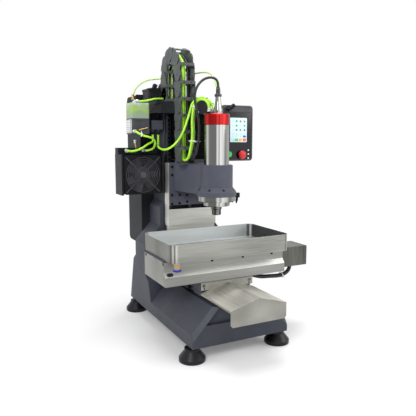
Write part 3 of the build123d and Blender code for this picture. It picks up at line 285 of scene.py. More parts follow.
def rounded_sheet(name, x0, x1, z0, z1, y, corner, finish, body):
    """A flat sheet facing the front: a rounded rectangle's outline drawn in to its centre.

    Each point of the outline lies one corner radius from the corner's own centre, at its angle."""
    sides, edge_depth = 48, 0.6
    turn = round_angles(sides) + np.pi / sides
    middle_x, middle_z = (x0 + x1) / 2, (z0 + z1) / 2
    x = middle_x + np.sign(np.cos(turn)) * ((x1 - x0) / 2 - corner) + corner * np.cos(turn)
    z = middle_z + np.sign(np.sin(turn)) * ((z1 - z0) / 2 - corner) + corner * np.sin(turn)
    outline = np.stack((x, np.full(sides, float(y)), z), axis=1)
    centre = np.broadcast_to((middle_x, y, middle_z), (sides, 3))
    grid = np.stack((centre, outline, outline + (0, edge_depth, 0)))
    return piece(name, grid * MM - ORIGIN, quads(3, sides), finish, body, crease=30)


# Cords: diameter in metres, real length, the body or the two bodies that carry it, and its route

ROUTES = {
    "hose_pump_radiator": (0.008, 0.195, "frame", [
        (-236, 226, 778), (-236, 208, 778), (-230, 193, 769), (-214, 186, 761), (-193, 187, 757),
        (-173, 193, 751), (-160, 203, 738), (-157, 218, 722), (-158, 236, 711), (-170, 249, 705),
        (-181, 252, 704), (-187, 252, 704)]),
    "hose_radiator_manifold": (0.008, 0.199, "frame", [
        (-262, 252, 704), (-262, 232, 704), (-252, 216, 702), (-233, 208, 706), (-212, 208, 714),
        (-192, 214, 726), (-174, 224, 734), (-157, 240, 738), (-149, 257, 748), (-149, 262, 764),
        (-149, 262, 776)]),
    "hose_spindle_feed": (0.008, 0.494, ("frame", "head"), [
        (-125, 262, 776), (-125, 262, 752), (-132, 246, 732), (-144, 218, 720), (-150, 182, 713),
        (-150, 144, 708), (-142, 108, 713), (-128, 82, 730), (-112, 70, 756), (-98, 66, 786),
        (-86, 65, 820), (-76, 65, 850), (-70, 63, 876), (-52, 54, 898), (-28, 40, 899),
        (-12, 31, 876), (-12, 31, 852)]),
    "hose_spindle_return": (0.008, 0.365, "head", [
        (-25, 12, 852), (-25, 12, 874), (-37, 25, 891), (-53, 43, 891), (-64, 56, 873),
        (-69, 59, 842), (-71, 60, 806), (-69, 60, 768), (-73, 59, 734), (-79, 59, 709),
        (-83, 60, 686), (-87, 77, 670), (-89, 101, 670), (-90, 118, 686), (-90, 118, 704)]),
    "hose_second": (0.008, 0.380, "head", [
        (6, 40, 852), (6, 40, 872), (-9, 52, 894), (-35, 66, 896), (-54, 74, 878),
        (-58, 76, 846), (-58, 75, 808), (-56, 74, 770), (-60, 74, 734), (-67, 74, 709),
        (-72, 75, 686), (-76, 92, 670), (-78, 116, 670), (-78, 132, 686), (-78, 132, 704)]),
    "spindle_cable": (0.009, 0.451, "head", [
        (6, 0, 934), (6, 0, 950), (-3, 4, 964), (-20, 11, 968), (-38, 19, 963),
        (-54, 26, 950), (-66, 32, 930), (-71, 36, 904), (-67, 40, 876), (-58, 44, 850),
        (-50, 48, 820), (-46, 51, 786), (-46, 54, 750), (-51, 57, 716), (-57, 60, 688),
        (-62, 77, 670), (-65, 101, 669), (-66, 118, 686), (-66, 118, 704)]),
    "air_line": (0.006, 0.614, ("frame", "head"), [
        (-205, 330, 905), (-203, 328, 935), (-185, 322, 962), (-150, 317, 984), (-108, 316, 990),
        (-66, 313, 996), (-22, 298, 1003), (12, 258, 1008), (30, 206, 1010), (34, 152, 1006),
        (30, 104, 994), (26, 66, 968), (25, 40, 928), (25, 31, 890), (25, 31, 852)]),
    "hose_tank_return": (0.008, 0.117, "frame", [
        (-219, 246, 893), (-197, 246, 893), (-174, 248, 897), (-151, 252, 903), (-128, 257, 907),
        (-104, 257, 907)]),
    "motor_conduit": (0.017, 0.273, ("saddle", "table"), [
        (106, 0, 230), (134, 0, 230), (166, 2, 218), (202, 2, 207), (240, -2, 206),
        (276, 0, 202), (308, 4, 202), (332, 2, 214), (340, 0, 234), (340, 0, 254)]),
}
RIB_PITCH, RIB_RADIUS, RIB_DEPTH = 0.0045, 0.0085, 0.0011


def running_length(path):
    """The length along a line up to each of its points."""
    steps = np.linalg.norm(np.diff(path, axis=0), axis=1)
    return np.concatenate(((0.0,), np.cumsum(steps)))


def even_steps(points, spacing):
    """Points a fixed step apart along a line, by interpolation over its running length."""
    run = running_length(points)
    marks = np.linspace(0, run[-1], max(4, round(run[-1] / spacing)))
    return np.stack([np.interp(marks, run, points[:, k]) for k in range(3)], axis=1)


def centreline(name, spacing):
    """Evenly spaced points on the smooth line that a route's points control."""
    route = np.array([at(*point) for point in ROUTES[name][3]])
    curve = bpy.data.curves.new(name + "_line", "CURVE")
    curve.dimensions = "3D"
    curve.resolution_u = 24
    spline = curve.splines.new("NURBS")
    spline.points.add(len(route) - 1)
    spline.points.foreach_set("co", np.column_stack((route, np.ones(len(route)))).ravel())
    spline.order_u = 3
    spline.use_endpoint_u = True
    holder = bpy.data.objects.new(name + "_line", curve)
    line = bpy.data.meshes.new_from_object(holder)
    points = np.zeros(len(line.vertices) * 3)
    line.vertices.foreach_get("co", points)
    bpy.data.meshes.remove(line)
    bpy.data.objects.remove(holder)
    bpy.data.curves.remove(curve)
    return even_steps(points.reshape(-1, 3), spacing)


def carried(path, radii, sides):
    """A circle carried along a path: path point plus radius times (cos a, sin a) square to the path.

    The direction of a = 0 is handed on from point to point, so that the tube doesn't twist."""
    tangent = np.gradient(path, axis=0)
    tangent /= np.linalg.norm(tangent, axis=1, keepdims=True)
    starts = [directions(tangent[0])[0]]
    for direction in tangent[1:]:
        turned_on = starts[-1] - direction * np.dot(starts[-1], direction)
        starts.append(turned_on / np.linalg.norm(turned_on))
    across = np.array(starts)
    aside = np.cross(tangent, across)
    angle = round_angles(sides)
    ring = across[:, None] * np.cos(angle)[:, None] + aside[:, None] * np.sin(angle)[:, None]
    return path[:, None] + np.reshape(radii, (-1, 1, 1)) * ring


def tube(name, path, radii, finish, body=None, sides=16):
    """A closed round tube along a path, its two ends brought to a point on the path."""
    grid = carried(path, np.broadcast_to(radii, len(path)), sides)
    ends = np.repeat(path[[0, -1]][:, None], sides, axis=1)
    grid = np.concatenate((ends[:1], grid, ends[1:]))
    return piece(name, grid, quads(len(grid), sides), finish, body, crease=60)


def corrugated(path):
    """Radius along a conduit: full on the ribs, less by a cosine wave of the running length between them."""
    wave = np.cos(2 * np.pi * running_length(path) / RIB_PITCH)
    return RIB_RADIUS - RIB_DEPTH * (0.5 - 0.5 * wave)


def lay_cord(name, finish, radii_of=None, spacing=0.004):
    """A cord along its route, attached to the body that carries it when there is only one."""
    diameter, length, body, route = ROUTES[name]
    path = centreline(name, spacing)
    radii = diameter / 2 if radii_of is None else radii_of(path)
    made = tube(name + "_tube", path, radii, finish)
    if isinstance(body, str):
        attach(made, body)
    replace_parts(made, name)
    return made


# Finishes: the steps that they are made of

def main_shader(material):
    """The shader that gives the material its surface."""
    return material.node_tree.nodes["Principled BSDF"]


def join(material, output, socket):
    """Links an output to one of the main shader's inputs."""
    feed(material, main_shader(material).inputs[socket], output)


def base_colour(material):
    """The output that now feeds the main shader's colour."""
    return main_shader(material).inputs["Base Color"].links[0].from_socket


def new_finish(name, colour, roughness, metallic=0.0, **sockets):
    """A material with its main shader's plain values set."""
    material = bpy.data.materials.new(name)
    material.use_nodes = True
    material.diffuse_color = (*colour, 1.0)
    shader = main_shader(material)
    shader.inputs["Base Color"].default_value = (*colour, 1.0)
    shader.inputs["Roughness"].default_value = roughness
    shader.inputs["Metallic"].default_value = metallic
    for key, value in sockets.items():
        shader.inputs[key.replace("_", " ")].default_value = value
    return material


def scaled(colour, factor):
    """A colour made lighter or darker by a factor, each of its parts at most 1."""
    return tuple(min(1.0, factor * part) for part in colour)


def greys(levels):
    """Stops of a ramp in grey, from pairs of place and level."""
    return [(place, (level, level, level)) for place, level in levels]


def grain(material, scale, stretch=(1, 1, 1), detail=3.0):
    """Cloudy noise on the piece's own coordinates, stretched along its axes."""
    place = node(material, "TexCoord").outputs["Object"]
    placed = node(material, "Mapping", Vector=place, Scale=stretch).outputs["Vector"]
    return node(material, "TexNoise", Vector=placed, Scale=scale, Detail=detail).outputs["Fac"]


def height_in(material):
    """The height of each point of the surface, in metres."""
    place = node(material, "TexCoord").outputs["Object"]
    return node(material, "SeparateXYZ", Vector=place).outputs["Z"]


def facing(material, axis):
    """How far the surface faces along an axis: 0 straight against it, 0.5 square to it, 1 with it."""
    normal = node(material, "TexCoord").outputs["Normal"]
    part = node(material, "SeparateXYZ", Vector=normal).outputs[axis]
    return node(material, "MapRange", Value=part, From_Min=-1.0, From_Max=1.0).outputs["Result"]


def average(material, first, second):
    """Half of one pattern and half of another."""
    half = maths(material, "MULTIPLY", first, 0.5)
    return maths(material, "MULTIPLY_ADD", second, 0.5, half)


def ramp(material, pattern, stops):
    """Colours that follow a pattern, from a list of places and colours."""
    made = node(material, "ValToRGB", Fac=pattern)
    elements = made.color_ramp.elements
    for element, (place, colour) in zip(elements, (stops[0], stops[-1])):
        element.position, element.color = place, (*colour, 1.0)
    for place, colour in stops[1:-1]:
        elements.new(place).color = (*colour, 1.0)
    return made.outputs["Color"]


def mixed(material, kind, factor, first, second):
    """Two colours mixed or multiplied by a factor."""
    mix = node(material, "Mix")
    mix.data_type = "RGBA"
    mix.blend_type = kind
    for key, value in (("Factor", factor), ("A", first), ("B", second)):
        feed(material, mix.inputs[key], (*value, 1.0) if isinstance(value, tuple) else value)
    return mix.outputs["Result"]


def shade(material, pattern, dark, light, low=0.3, high=0.7):
    """Colour that runs from dark to light as a pattern runs from low to high."""
    join(material, ramp(material, pattern, ((low, dark), (high, light))), "Base Color")


def gloss(material, pattern, low, high):
    """Roughness that follows a pattern."""
    spread = node(material, "MapRange", Value=pattern, To_Min=low, To_Max=high)
    join(material, spread.outputs["Result"], "Roughness")


def relief(material, pattern, depth, edge=0.0):
    """Bumps of that depth in metres, over edges rounded by that radius."""
    bump = node(material, "Bump", Height=pattern, Strength=1.0, Distance=depth)
    if edge:
        rounded = node(material, "Bevel", Radius=edge)
        rounded.samples = 4
        feed(material, bump.inputs["Normal"], rounded.outputs[0])
    join(material, bump.outputs[0], "Normal")


def cut_rings(material, scale, rough, edge):
    """Fine rings square to the spindle axis, in the gloss and in the relief."""
    rings = grain(material, scale, (0.02, 0.02, 12.0), detail=4.0)
    gloss(material, rings, rough * 0.8, rough * 1.3)
    relief(material, rings, 0.00002, edge=edge)
    return rings


def painted_light_by_facing(material, axis, levels):
    """Painted light and shade: darkens or keeps the colour by how far the surface faces along an axis."""
    light = ramp(material, facing(material, axis), greys(levels))
    join(material, mixed(material, "MULTIPLY", 1.0, base_colour(material), light), "Base Color")
    return material


def plastic_end(material, height, above, colour):
    """Gives the end of a metal piece above or below a height, in metres, the plain colour of plastic."""
    side = maths(material, "GREATER_THAN" if above else "LESS_THAN", height_in(material), height)
    join(material, mixed(material, "MIX", side, base_colour(material), colour), "Base Color")
    metal = node(material, "MapRange", Value=side, To_Min=1.0, To_Max=0.0)
    join(material, metal.outputs["Result"], "Metallic")
    return material


# Painted light and reflection that follow the direction of a surface and its place round the spindle, and
# colours that follow the height in the reservoir

# Painted reflection and shade: place on the scale of facing along X, and level: the left side, the rounded
# left corners, the front and back, the right corners and the right side, outside and inside the tray
OUTER_PAINTED_BANDS = (
    (0.0, 0.36), (0.02, 0.36), (0.07, 0.16), (0.15, 0.95), (0.22, 0.22), (0.33, 1.0),
    (0.44, 0.58), (0.56, 0.58), (0.68, 0.25), (0.80, 0.85), (0.93, 0.2), (1.0, 0.35))
INNER_PAINTED_BANDS = (
    (0.0, 0.12), (0.04, 0.12), (0.13, 0.9), (0.22, 0.12), (0.36, 0.25),
    (0.44, 0.85), (0.56, 0.85), (0.8, 0.4), (1.0, 0.7))
TRAY_MIDDLE = at(0, 2.35, 400)

# Painted reflection bands: share of a turn round an upright axis, from the machine's left side by way of its
# front, and level
TURN_PAINTED_BANDS = (
    (0.0, 0.35), (0.03, 0.3), (0.047, 0.6), (0.08, 0.12), (0.165, 0.10), (0.18, 0.75), (0.192, 0.75),
    (0.204, 0.32), (0.222, 0.95), (0.26, 0.65), (0.29, 0.15), (0.33, 0.35), (0.42, 0.06), (0.50, 0.55),
    (0.58, 0.12), (0.68, 0.65), (0.76, 0.15), (0.86, 0.6), (0.93, 0.15), (1.0, 0.35))

# Height in the reservoir as a share, mixed half and half with clouds, and colour
TANK_FOOT, TANK_RIM = 828, 887
TANK_COLOURS = (
    (0.26, (0.42, 0.50, 0.46)), (0.40, (0.40, 0.56, 0.30)), (0.52, (0.46, 0.70, 0.16)),
    (0.64, (0.50, 0.66, 0.38)), (0.80, (0.78, 0.86, 0.80)))


# Finishes

def cast_paint(name, brightness):
    """Satin blue-grey paint over a casting, faintly cloudy, with a fine orange-peel surface; a brightness
    above 1 is painted light.
    """
    dark, light = scaled((0.042, 0.045, 0.060), brightness), scaled((0.062, 0.066, 0.083), brightness)
    made = new_finish(name, light, 0.42, Specular_IOR_Level=0.14)
    shade(made, grain(made, 7.0), dark, light)
    gloss(made, grain(made, 60.0), 0.36, 0.5)
    relief(made, grain(made, 900.0), 0.00012, edge=0.0026)
    return made


def brushed_stainless(name, direction, dark, light, rough=None):
    """Stainless sheet with fine scratches along one direction, broad clouds of painted reflection and rounded
    folds.
    """
    made = new_finish(name, light, 0.3, metallic=1.0, Anisotropic=0.3)
    lines = grain(made, 9.0, tuple(1.0 if axis == direction else 60.0 for axis in range(3)), detail=5.0)
    # Broad clouds of darker and lighter colour: a painted reflection of uneven light over the sheet.
    clouds = grain(made, 7.0, tuple(0.4 if axis == direction else 1.5 for axis in range(3)), detail=1.0)
    shade(made, average(made, lines, clouds), dark, light, low=0.36, high=0.66)
    if rough:
        gloss(made, lines, *rough)
    relief(made, lines, 0.00004, edge=0.0011)
    return made


def tray_sheet():
    """Brushed sheet with painted light: upright bands of painted reflection on its rounded corners, painted
    shade on its sides, and an inside painted paler, which is also less shiny.

    A point is inside where its surface faces the middle of the tray."""
    made = brushed_stainless("tray_stainless", ALONG_X, (0.36, 0.36, 0.33), (0.74, 0.74, 0.69))
    sheet = base_colour(made)
    place = node(made, "TexCoord").outputs
    to_middle = maths(made, "SUBTRACT", tuple(TRAY_MIDDLE), place["Object"],
                      kind="VectorMath", output="Vector")
    inward = maths(made, "DOT_PRODUCT", to_middle, place["Normal"], kind="VectorMath")
    inside = maths(made, "GREATER_THAN", inward, 0.0)
    side = facing(made, "X")
    # Painted light: the inside is mixed towards a pale blue-white, and both sides take painted bands of light
    # and shade by the way they face.
    pale = mixed(made, "MIX", 0.7, sheet, (0.84, 0.89, 0.90))
    outer = mixed(made, "MULTIPLY", 1.0, sheet, ramp(made, side, greys(OUTER_PAINTED_BANDS)))
    inner = mixed(made, "MULTIPLY", 1.0, pale, ramp(made, side, greys(INNER_PAINTED_BANDS)))
    join(made, mixed(made, "MIX", inside, outer, inner), "Base Color")
    gloss(made, inside, 0.32, 0.6)
    return made


def turned_steel(name, colour, rough):
    """Turned or ground steel with fine rings square to the spindle axis."""
    made = new_finish(name, colour, rough, metallic=1.0)
    shade(made, cut_rings(made, 70.0, rough, edge=0.0005), scaled(colour, 0.8), scaled(colour, 1.1))
    return made


def painted_band_metal(name, axis_x, dark, light, rough):
    """Polished metal round an upright axis, in soft bands of painted reflection that depend on the angle
    round it alone.
    """
    made = new_finish(name, light, rough, metallic=1.0)
    place = node(made, "TexCoord").outputs["Object"]
    centred = node(made, "Mapping", Vector=place, Location=tuple(-at(axis_x, 0, 0))).outputs["Vector"]
    turn = node(made, "TexGradient", Vector=centred)
    turn.gradient_type = "RADIAL"
    bands = ramp(made, turn.outputs["Fac"], greys(TURN_PAINTED_BANDS))
    join(made, mixed(made, "MIX", bands, dark, light), "Base Color")
    cut_rings(made, 90.0, rough, edge=0.0008)
    return made


def moulded(name, colour, rough, speckle=700.0, depth=0.00008, edge=0.0008, spread=0.25, shine=0.5):
    """Moulded plastic or coated metal: a fine even grain and slightly cloudy colour."""
    made = new_finish(name, colour, rough, Specular_IOR_Level=shine)
    shade(made, grain(made, 25.0), scaled(colour, 1 - spread), scaled(colour, 1 + spread))
    gloss(made, grain(made, 90.0), rough * 0.85, rough * 1.2)
    relief(made, grain(made, speckle), depth, edge=edge)
    return made


def glowing(name, colour, strength):
    """A lit part of the screen: smooth glass with a little light of its own."""
    made = moulded(name, colour, 0.2, spread=0.05)
    main_shader(made).inputs["Emission Color"].default_value = (*colour, 1.0)
    main_shader(made).inputs["Emission Strength"].default_value = strength
    return made


def lime_hose():
    """Glossy lime hose that lets a little light in."""
    made = new_finish("lime_hose", (0.42, 0.86, 0.03), 0.28, Subsurface_Weight=0.25, Subsurface_Scale=0.004)
    main_shader(made).inputs["Subsurface Radius"].default_value = (0.6, 1.0, 0.2)
    shade(made, grain(made, 45.0), (0.30, 0.70, 0.015), (0.52, 0.94, 0.06))
    relief(made, grain(made, 500.0), 0.00004)
    return made


def tank_plastic():
    """Milky plastic with lime coolant behind it: pale at the rim and the foot, greener in between."""
    made = new_finish("tank_plastic", (0.52, 0.66, 0.55), 0.3, Transmission_Weight=0.3, IOR=1.3)
    level = node(made, "MapRange", Value=height_in(made), From_Min=TANK_FOOT * MM, From_Max=TANK_RIM * MM)
    clouds = grain(made, 38.0, (1, 1, 1.6), detail=4.0)
    join(made, ramp(made, average(made, level.outputs["Result"], clouds), TANK_COLOURS), "Base Color")
    gloss(made, grain(made, 40.0), 0.25, 0.4)
    relief(made, grain(made, 200.0), 0.00006, edge=0.0012)
    return made


PAINT = cast_paint("cast_paint", 1.0)
# The head's paint is the casting paint made about one and a half times as light: painted light on the slide
# plate and the spindle bracket.
HEAD_PAINT_PAINTED_LIGHTER = cast_paint("head_paint_painted_lighter", 1.55)
# Painted light on the way cover and the table skirt: faces turned up keep their full colour, the others are
# darkened to about half as painted shade.
SHEET_Y = painted_light_by_facing(
    brushed_stainless("stainless_along_y", ALONG_Y, (0.42, 0.41, 0.37), (0.78, 0.77, 0.70), (0.42, 0.56)),
    "Z", ((0.0, 0.56), (0.55, 0.56), (0.7, 1.0), (1.0, 1.0)))
SATIN = painted_light_by_facing(
    brushed_stainless("satin_stainless", ALONG_X, (0.54, 0.54, 0.51), (0.80, 0.80, 0.77), (0.48, 0.60)),
    "Z", ((0.0, 0.5), (0.54, 0.5), (0.64, 1.0), (1.0, 1.0)))
WALL = brushed_stainless("wall_stainless", ALONG_X, (0.46, 0.46, 0.42), (0.82, 0.82, 0.77), (0.45, 0.58))
DULL = brushed_stainless("dull_stainless", ALONG_Z, (0.07, 0.07, 0.062), (0.20, 0.20, 0.18), (0.34, 0.5))
TRAY = tray_sheet()
POLISHED = painted_band_metal("polished_spindle", 0, (0.05, 0.05, 0.046), (0.92, 0.92, 0.90), 0.16)
CONNECTOR = plastic_end(
    painted_band_metal("polished_connector", 6, (0.05, 0.05, 0.046), (0.84, 0.84, 0.82), 0.18),
    height=899 * MM, above=True, colour=(0.03, 0.03, 0.033))
NOSE = painted_band_metal("turned_nose", 0, (0.04, 0.04, 0.038), (0.80, 0.80, 0.76), 0.2)
NUT = painted_band_metal("collet_steel", 0, (0.012, 0.012, 0.013), (0.34, 0.34, 0.33), 0.24)
RED = painted_band_metal("red_anodised", 0, (0.20, 0.004, 0.005), (0.80, 0.05, 0.05), 0.24)
GROUND = turned_steel("ground_steel", (0.36, 0.36, 0.36), 0.28)
MILLED = turned_steel("milled_aluminium", (0.62, 0.62, 0.62), 0.34)
RAIL = turned_steel("rail_steel", (0.10, 0.105, 0.12), 0.34)
BRASS = plastic_end(
    turned_steel("brass", (0.46, 0.36, 0.22), 0.3), height=313 * MM, above=False, colour=(0.004, 0.012, 0.34))
BRASS_ROD = turned_steel("brass_rod", (0.60, 0.40, 0.14), 0.26)
SCREW = turned_steel("black_screw", (0.02, 0.02, 0.022), 0.35)
BRIGHT_SCREW = turned_steel("bright_screw", (0.16, 0.16, 0.155), 0.3)
BLACK = moulded("black_moulding", (0.009, 0.009, 0.011), 0.42, shine=0.12)
ROTOR = moulded("grey_rotor", (0.050, 0.052, 0.062), 0.4, shine=0.3)
CHAIN = moulded("chain_plastic", (0.072, 0.080, 0.082), 0.45, 500.0, 0.0001, edge=0.0012, shine=0.3)
COAT = moulded("powder_coat", (0.024, 0.025, 0.028), 0.5, 1400.0, 0.0001, 0.0015, spread=0.08, shine=0.1)
BLACK_COAT = moulded("black_coat", (0.016, 0.017, 0.020), 0.45, 1200.0, edge=0.001, shine=0.15)
FINS = moulded("black_anodised", (0.014, 0.015, 0.018), 0.42, edge=0.0006, shine=0.1)
WIRE = moulded("coated_wire", (0.060, 0.060, 0.068), 0.3)
SMOKE = moulded("grey_moulding", (0.045, 0.046, 0.056), 0.4)
RUBBER = moulded("black_rubber", (0.008, 0.008, 0.010), 0.34, edge=0.002, shine=0.25)
BELLOWS = moulded("bellows_cloth", (0.006, 0.006, 0.007), 0.5, 1500.0, shine=0.12)
PALE_LIME = moulded("pale_lime", (0.52, 0.80, 0.20), 0.3, spread=0.12)
CABLE = moulded("cable_jacket", (0.012, 0.012, 0.014), 0.36)
WHITE = moulded("white_nylon", (0.84, 0.85, 0.83), 0.4, spread=0.04)
PANEL = moulded("panel_moulding", (0.036, 0.036, 0.044), 0.32, edge=0.0012)
GLASS = moulded("panel_glass", (0.006, 0.006, 0.009), 0.08, spread=0.1)
STOP_RED = moulded("stop_red", (0.72, 0.02, 0.02), 0.28, edge=0.0006, spread=0.08)
START_GREEN = moulded("start_green", (0.06, 0.62, 0.10), 0.25, spread=0.08)
SCREEN = glowing("screen_white", (0.62, 0.78, 0.82), 0.2)
TEAL = glowing("icon_teal", (0.05, 0.38, 0.30), 0.1)
SLATE = glowing("icon_slate", (0.16, 0.22, 0.24), 0.1)
BLUE = glowing("icon_blue", (0.03, 0.16, 0.48), 0.1)
PALE = glowing("icon_pale", (0.38, 0.66, 0.72), 0.2)
GREEN = glowing("key_green", (0.12, 0.52, 0.16), 0.2)
AMBER = glowing("key_amber", (0.85, 0.42, 0.12), 0.2)
CORAL = glowing("key_coral", (0.80, 0.14, 0.14), 0.2)
LIME = lime_hose()
TANK = tank_plastic()

NODE_FINISHES = {
    PAINT: ("frame_casting", "saddle_casting", "table_plate", "equipment_brackets"),
    HEAD_PAINT_PAINTED_LIGHTER: ("z_slide_plate", "spindle_bracket"),
    RUBBER: ("levelling_feet", "z_belt"),
    RAIL: ("linear_rails", "z_ball_screw"),
    BLACK_COAT: ("screw_bearings", "axis_motors", "hmi_arm", "x_motor", "z_belt_housing"),
    TRAY: ("coolant_tray",),
    DULL: ("x_motor_cover",),
    WALL: ("z_cover_fixed", "z_cover_moving"),
    SHEET_Y: ("y_way_cover",),
    SATIN: ("table_skirt",),
    COAT: ("cabinet_body", "cabinet_door", "cabinet_drives"),
    FINS: ("radiator",),
    ROTOR: ("fan_rotor",),
    BLACK: ("fan_frame", "reservoir_cap", "head_fittings", "clamp_lever"),
    WIRE: ("fan_guard",),
    SMOKE: ("pump_body",),
    CONNECTOR: ("spindle_connector",),
    TANK: ("reservoir",),
    GROUND: ("y_ball_screw", "x_ball_screw"),
    MILLED: ("z_motor_pulley", "slot_table"),
    POLISHED: ("spindle_body",),
    NOSE: ("spindle_nose",),
    NUT: ("spindle_shaft", "collet_nut"),
    RED: ("spindle_cap",),
    CHAIN: ("drag_chain_loop", "drag_chain_front", "drag_chain_rear"),
    BELLOWS: ("z_bellows",),
    BRASS: ("drain_fitting",),
    PANEL: ("hmi_housing",),
    STOP_RED: ("stop_button",),
    START_GREEN: ("start_button",),
}


def dress(cad_node, finish):
    """Gives a part of the frame its finish in each of its material slots."""
    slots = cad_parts[cad_node].data.materials
    for index in range(len(slots)):
        slots[index] = finish


# Pieces that cross the Z joint: two heights in metres for each

BELLOWS_ENDS = (0.849, 0.668)
REAR_STRAND_ENDS = (0.894, 1.076)
FRONT_STRAND_ENDS = (1.315, 0.655)


def merged_copy(name, cad_node):
    """A welded copy of a part's mesh, in the part's place."""
    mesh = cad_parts[cad_node].data.copy()
    mesh.name = name
    weld(mesh)
    mesh.set_sharp_from_angle(angle=math.radians(30))
    made = add(name, mesh)
    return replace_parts(made, cad_node)


def follow_head(made, start_height, end_height):
    """Bakes the piece's place into its mesh; its start and end heights are not used."""
    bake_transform(made)


def lay_crossing_cords():
    """The cords between two bodies, laid along their routes, each with its place baked into its mesh."""
    feed_hose = lay_cord("hose_spindle_feed", LIME)
    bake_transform(feed_hose)
    air = lay_cord("air_line", PALE_LIME)
    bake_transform(air)
    conduit = lay_cord("motor_conduit", CABLE, corrugated, spacing=0.0009)
    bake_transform(conduit)


# Screws and holes: faces that carry them, in millimetres

PLATE_FRONT, RAIL_FRONT, COVER_FRONT = 205, 239.5, -87.5
SKIRT_FRONT, SKIRT_LEFT, SKIRT_SLOPE, SLOPE_FACING = -81.5, -244.5, (-88.4, 288.4), (0, -0.78, 0.62)
PLATE_SCREWS = ((-91, 640), (-91, 608), (-92, 528), (-92, 492), (-59, 527), (-26, 525),
                (-60, 494), (-26, 498), (59, 527), (60, 494), (92, 528), (92, 492))
FLANGE_ANGLES = np.radians(-50 + 45 * np.arange(8))
FLANGE_RADIUS, FLANGE_HEIGHT = 66.5, 565.5


def slide_plate_screws():
    """Socket-head screws on the front of the Z slide plate."""
    places = [at(x, PLATE_FRONT, z) for x, z in PLATE_SCREWS]
    cap_screws("plate_screws", places, FRONT, SCREW, "head", radius=0.0052, height=0.0024)


def skirt_fasteners():
    """Flat heads along the table skirt, and the slot on its sloping face, drawn as a row of grey discs
    painted as its shade.
    """
    front = [at(x, SKIRT_FRONT, 321) for x in (-188, -60, 67, 194)]
    discs("skirt_screws_front", front, FRONT, SCREW, "table", radius=0.0052, proud=0.0008)
    left = [at(SKIRT_LEFT, y, 325.5) for y in (95, -75)]
    discs("skirt_screws_left", left, LEFT, SCREW, "table", radius=0.0058, proud=0.0010)
    slot = row((-230, *SKIRT_SLOPE), (-219, *SKIRT_SLOPE), 5)
    discs("skirt_slot", slot, SLOPE_FACING, SMOKE, "table", radius=0.0068)


def way_cover_fasteners():
    """Two screws, and under each a dark disc painted as the shade in a hole, on the way cover's flange."""
    screws = [at(x, COVER_FRONT, 233) for x in (-96, 92)]
    cap_screws("way_cover_screws", screws, FRONT, BRIGHT_SCREW, "saddle", radius=0.0055, height=0.003)
    holes = [at(x, COVER_FRONT, 222) for x in (-94, 91)]
    discs("way_cover_holes", holes, FRONT, SCREW, "saddle", radius=0.003)


def rail_bolts():
    """Evenly spaced bolts, seen as dark rounds, down the two Z rails."""
    for side in (-88, 88):
        places = row((side, RAIL_FRONT, 444), (side, RAIL_FRONT, 840), 24)
        discs(f"z_rail_bolts_{side}", places, FRONT, SCREW, "frame", radius=0.0046)


def flange_screws():
    """Screw heads round the spindle's collar, each facing outwards and up."""
    for number, angle in enumerate(FLANGE_ANGLES):
        x, y = math.sin(angle), -math.cos(angle)
        place = at(FLANGE_RADIUS * x, FLANGE_RADIUS * y, FLANGE_HEIGHT)
        discs(f"flange_screw_{number}", [place], (x, y, 0.7), SCREW, "head", radius=0.0046, proud=0.0006)


# Screen of the operator panel: its front faces, one just before the other, and its rows and columns

GLASS_FRONT, SCREEN_FRONT, ICON_FRONT, KEY_FRONT = 220.6, 220.3, 220.2, 220.1
GLASS_EDGES, SCREEN_EDGES, KEY_EDGES = (147, 285, 665, 862), (181, 262.5, 737, 838.5), (740, 752.5)
FIRST, SECOND, THIRD, FOURTH = 194.5, 212, 231, 251
ICON_ROWS = (824, 806, 788, 771, 761)
KEY_HALF_WIDTH = 8
LAMP_COLUMN, LAMP_ROWS = 271, (703, 686, 669)
ICONS = (
    ("icons_teal", [(SECOND, 824), (SECOND, 806), (FOURTH, 806)], 0.0046, TEAL),
    ("icons_slate", [(THIRD, 824), (FOURTH, 824), (SECOND, 788), (THIRD, 788)], 0.0044, SLATE),
    ("icons_blue", [(FOURTH, 788), (FOURTH - 3, 761), (FOURTH + 3, 761)], 0.0046, BLUE),
    ("icons_pale", [(FIRST, z) for z in ICON_ROWS]
     + [(x, z) for x in (SECOND, THIRD, FOURTH) for z in ICON_ROWS[3:]], 0.0030, PALE),
)
KEYS = (("key_green", SECOND, GREEN), ("key_amber", THIRD, AMBER), ("key_coral", FOURTH, CORAL),
        ("key_pale", FIRST, PALE))


def panel_screen():
    """The panel's dark glass, its screen with round icons and a row of keys, and three lamps beside it."""
    rounded_sheet("panel_glass", *GLASS_EDGES, GLASS_FRONT, 8, GLASS, "panel")
    rounded_sheet("screen_sheet", *SCREEN_EDGES, SCREEN_FRONT, 1.5, SCREEN, "panel")
    for name, places, radius, finish in ICONS:
        discs(name, [at(x, ICON_FRONT, z) for x, z in places], FRONT, finish, "panel", radius)
    for name, x, finish in KEYS:
        left, right = x - KEY_HALF_WIDTH, x + KEY_HALF_WIDTH
        rounded_sheet(name, left, right, *KEY_EDGES, KEY_FRONT, 1.5, finish, "panel")
    lamps = [at(LAMP_COLUMN, SCREEN_FRONT, z) for z in LAMP_ROWS]
    discs("panel_lamps", lamps, FRONT, WHITE, "panel", radius=0.0038, proud=0.0009)


# Hoses inside the drag chain: label, x, radius, depth inwards from the middle of the links, and finish

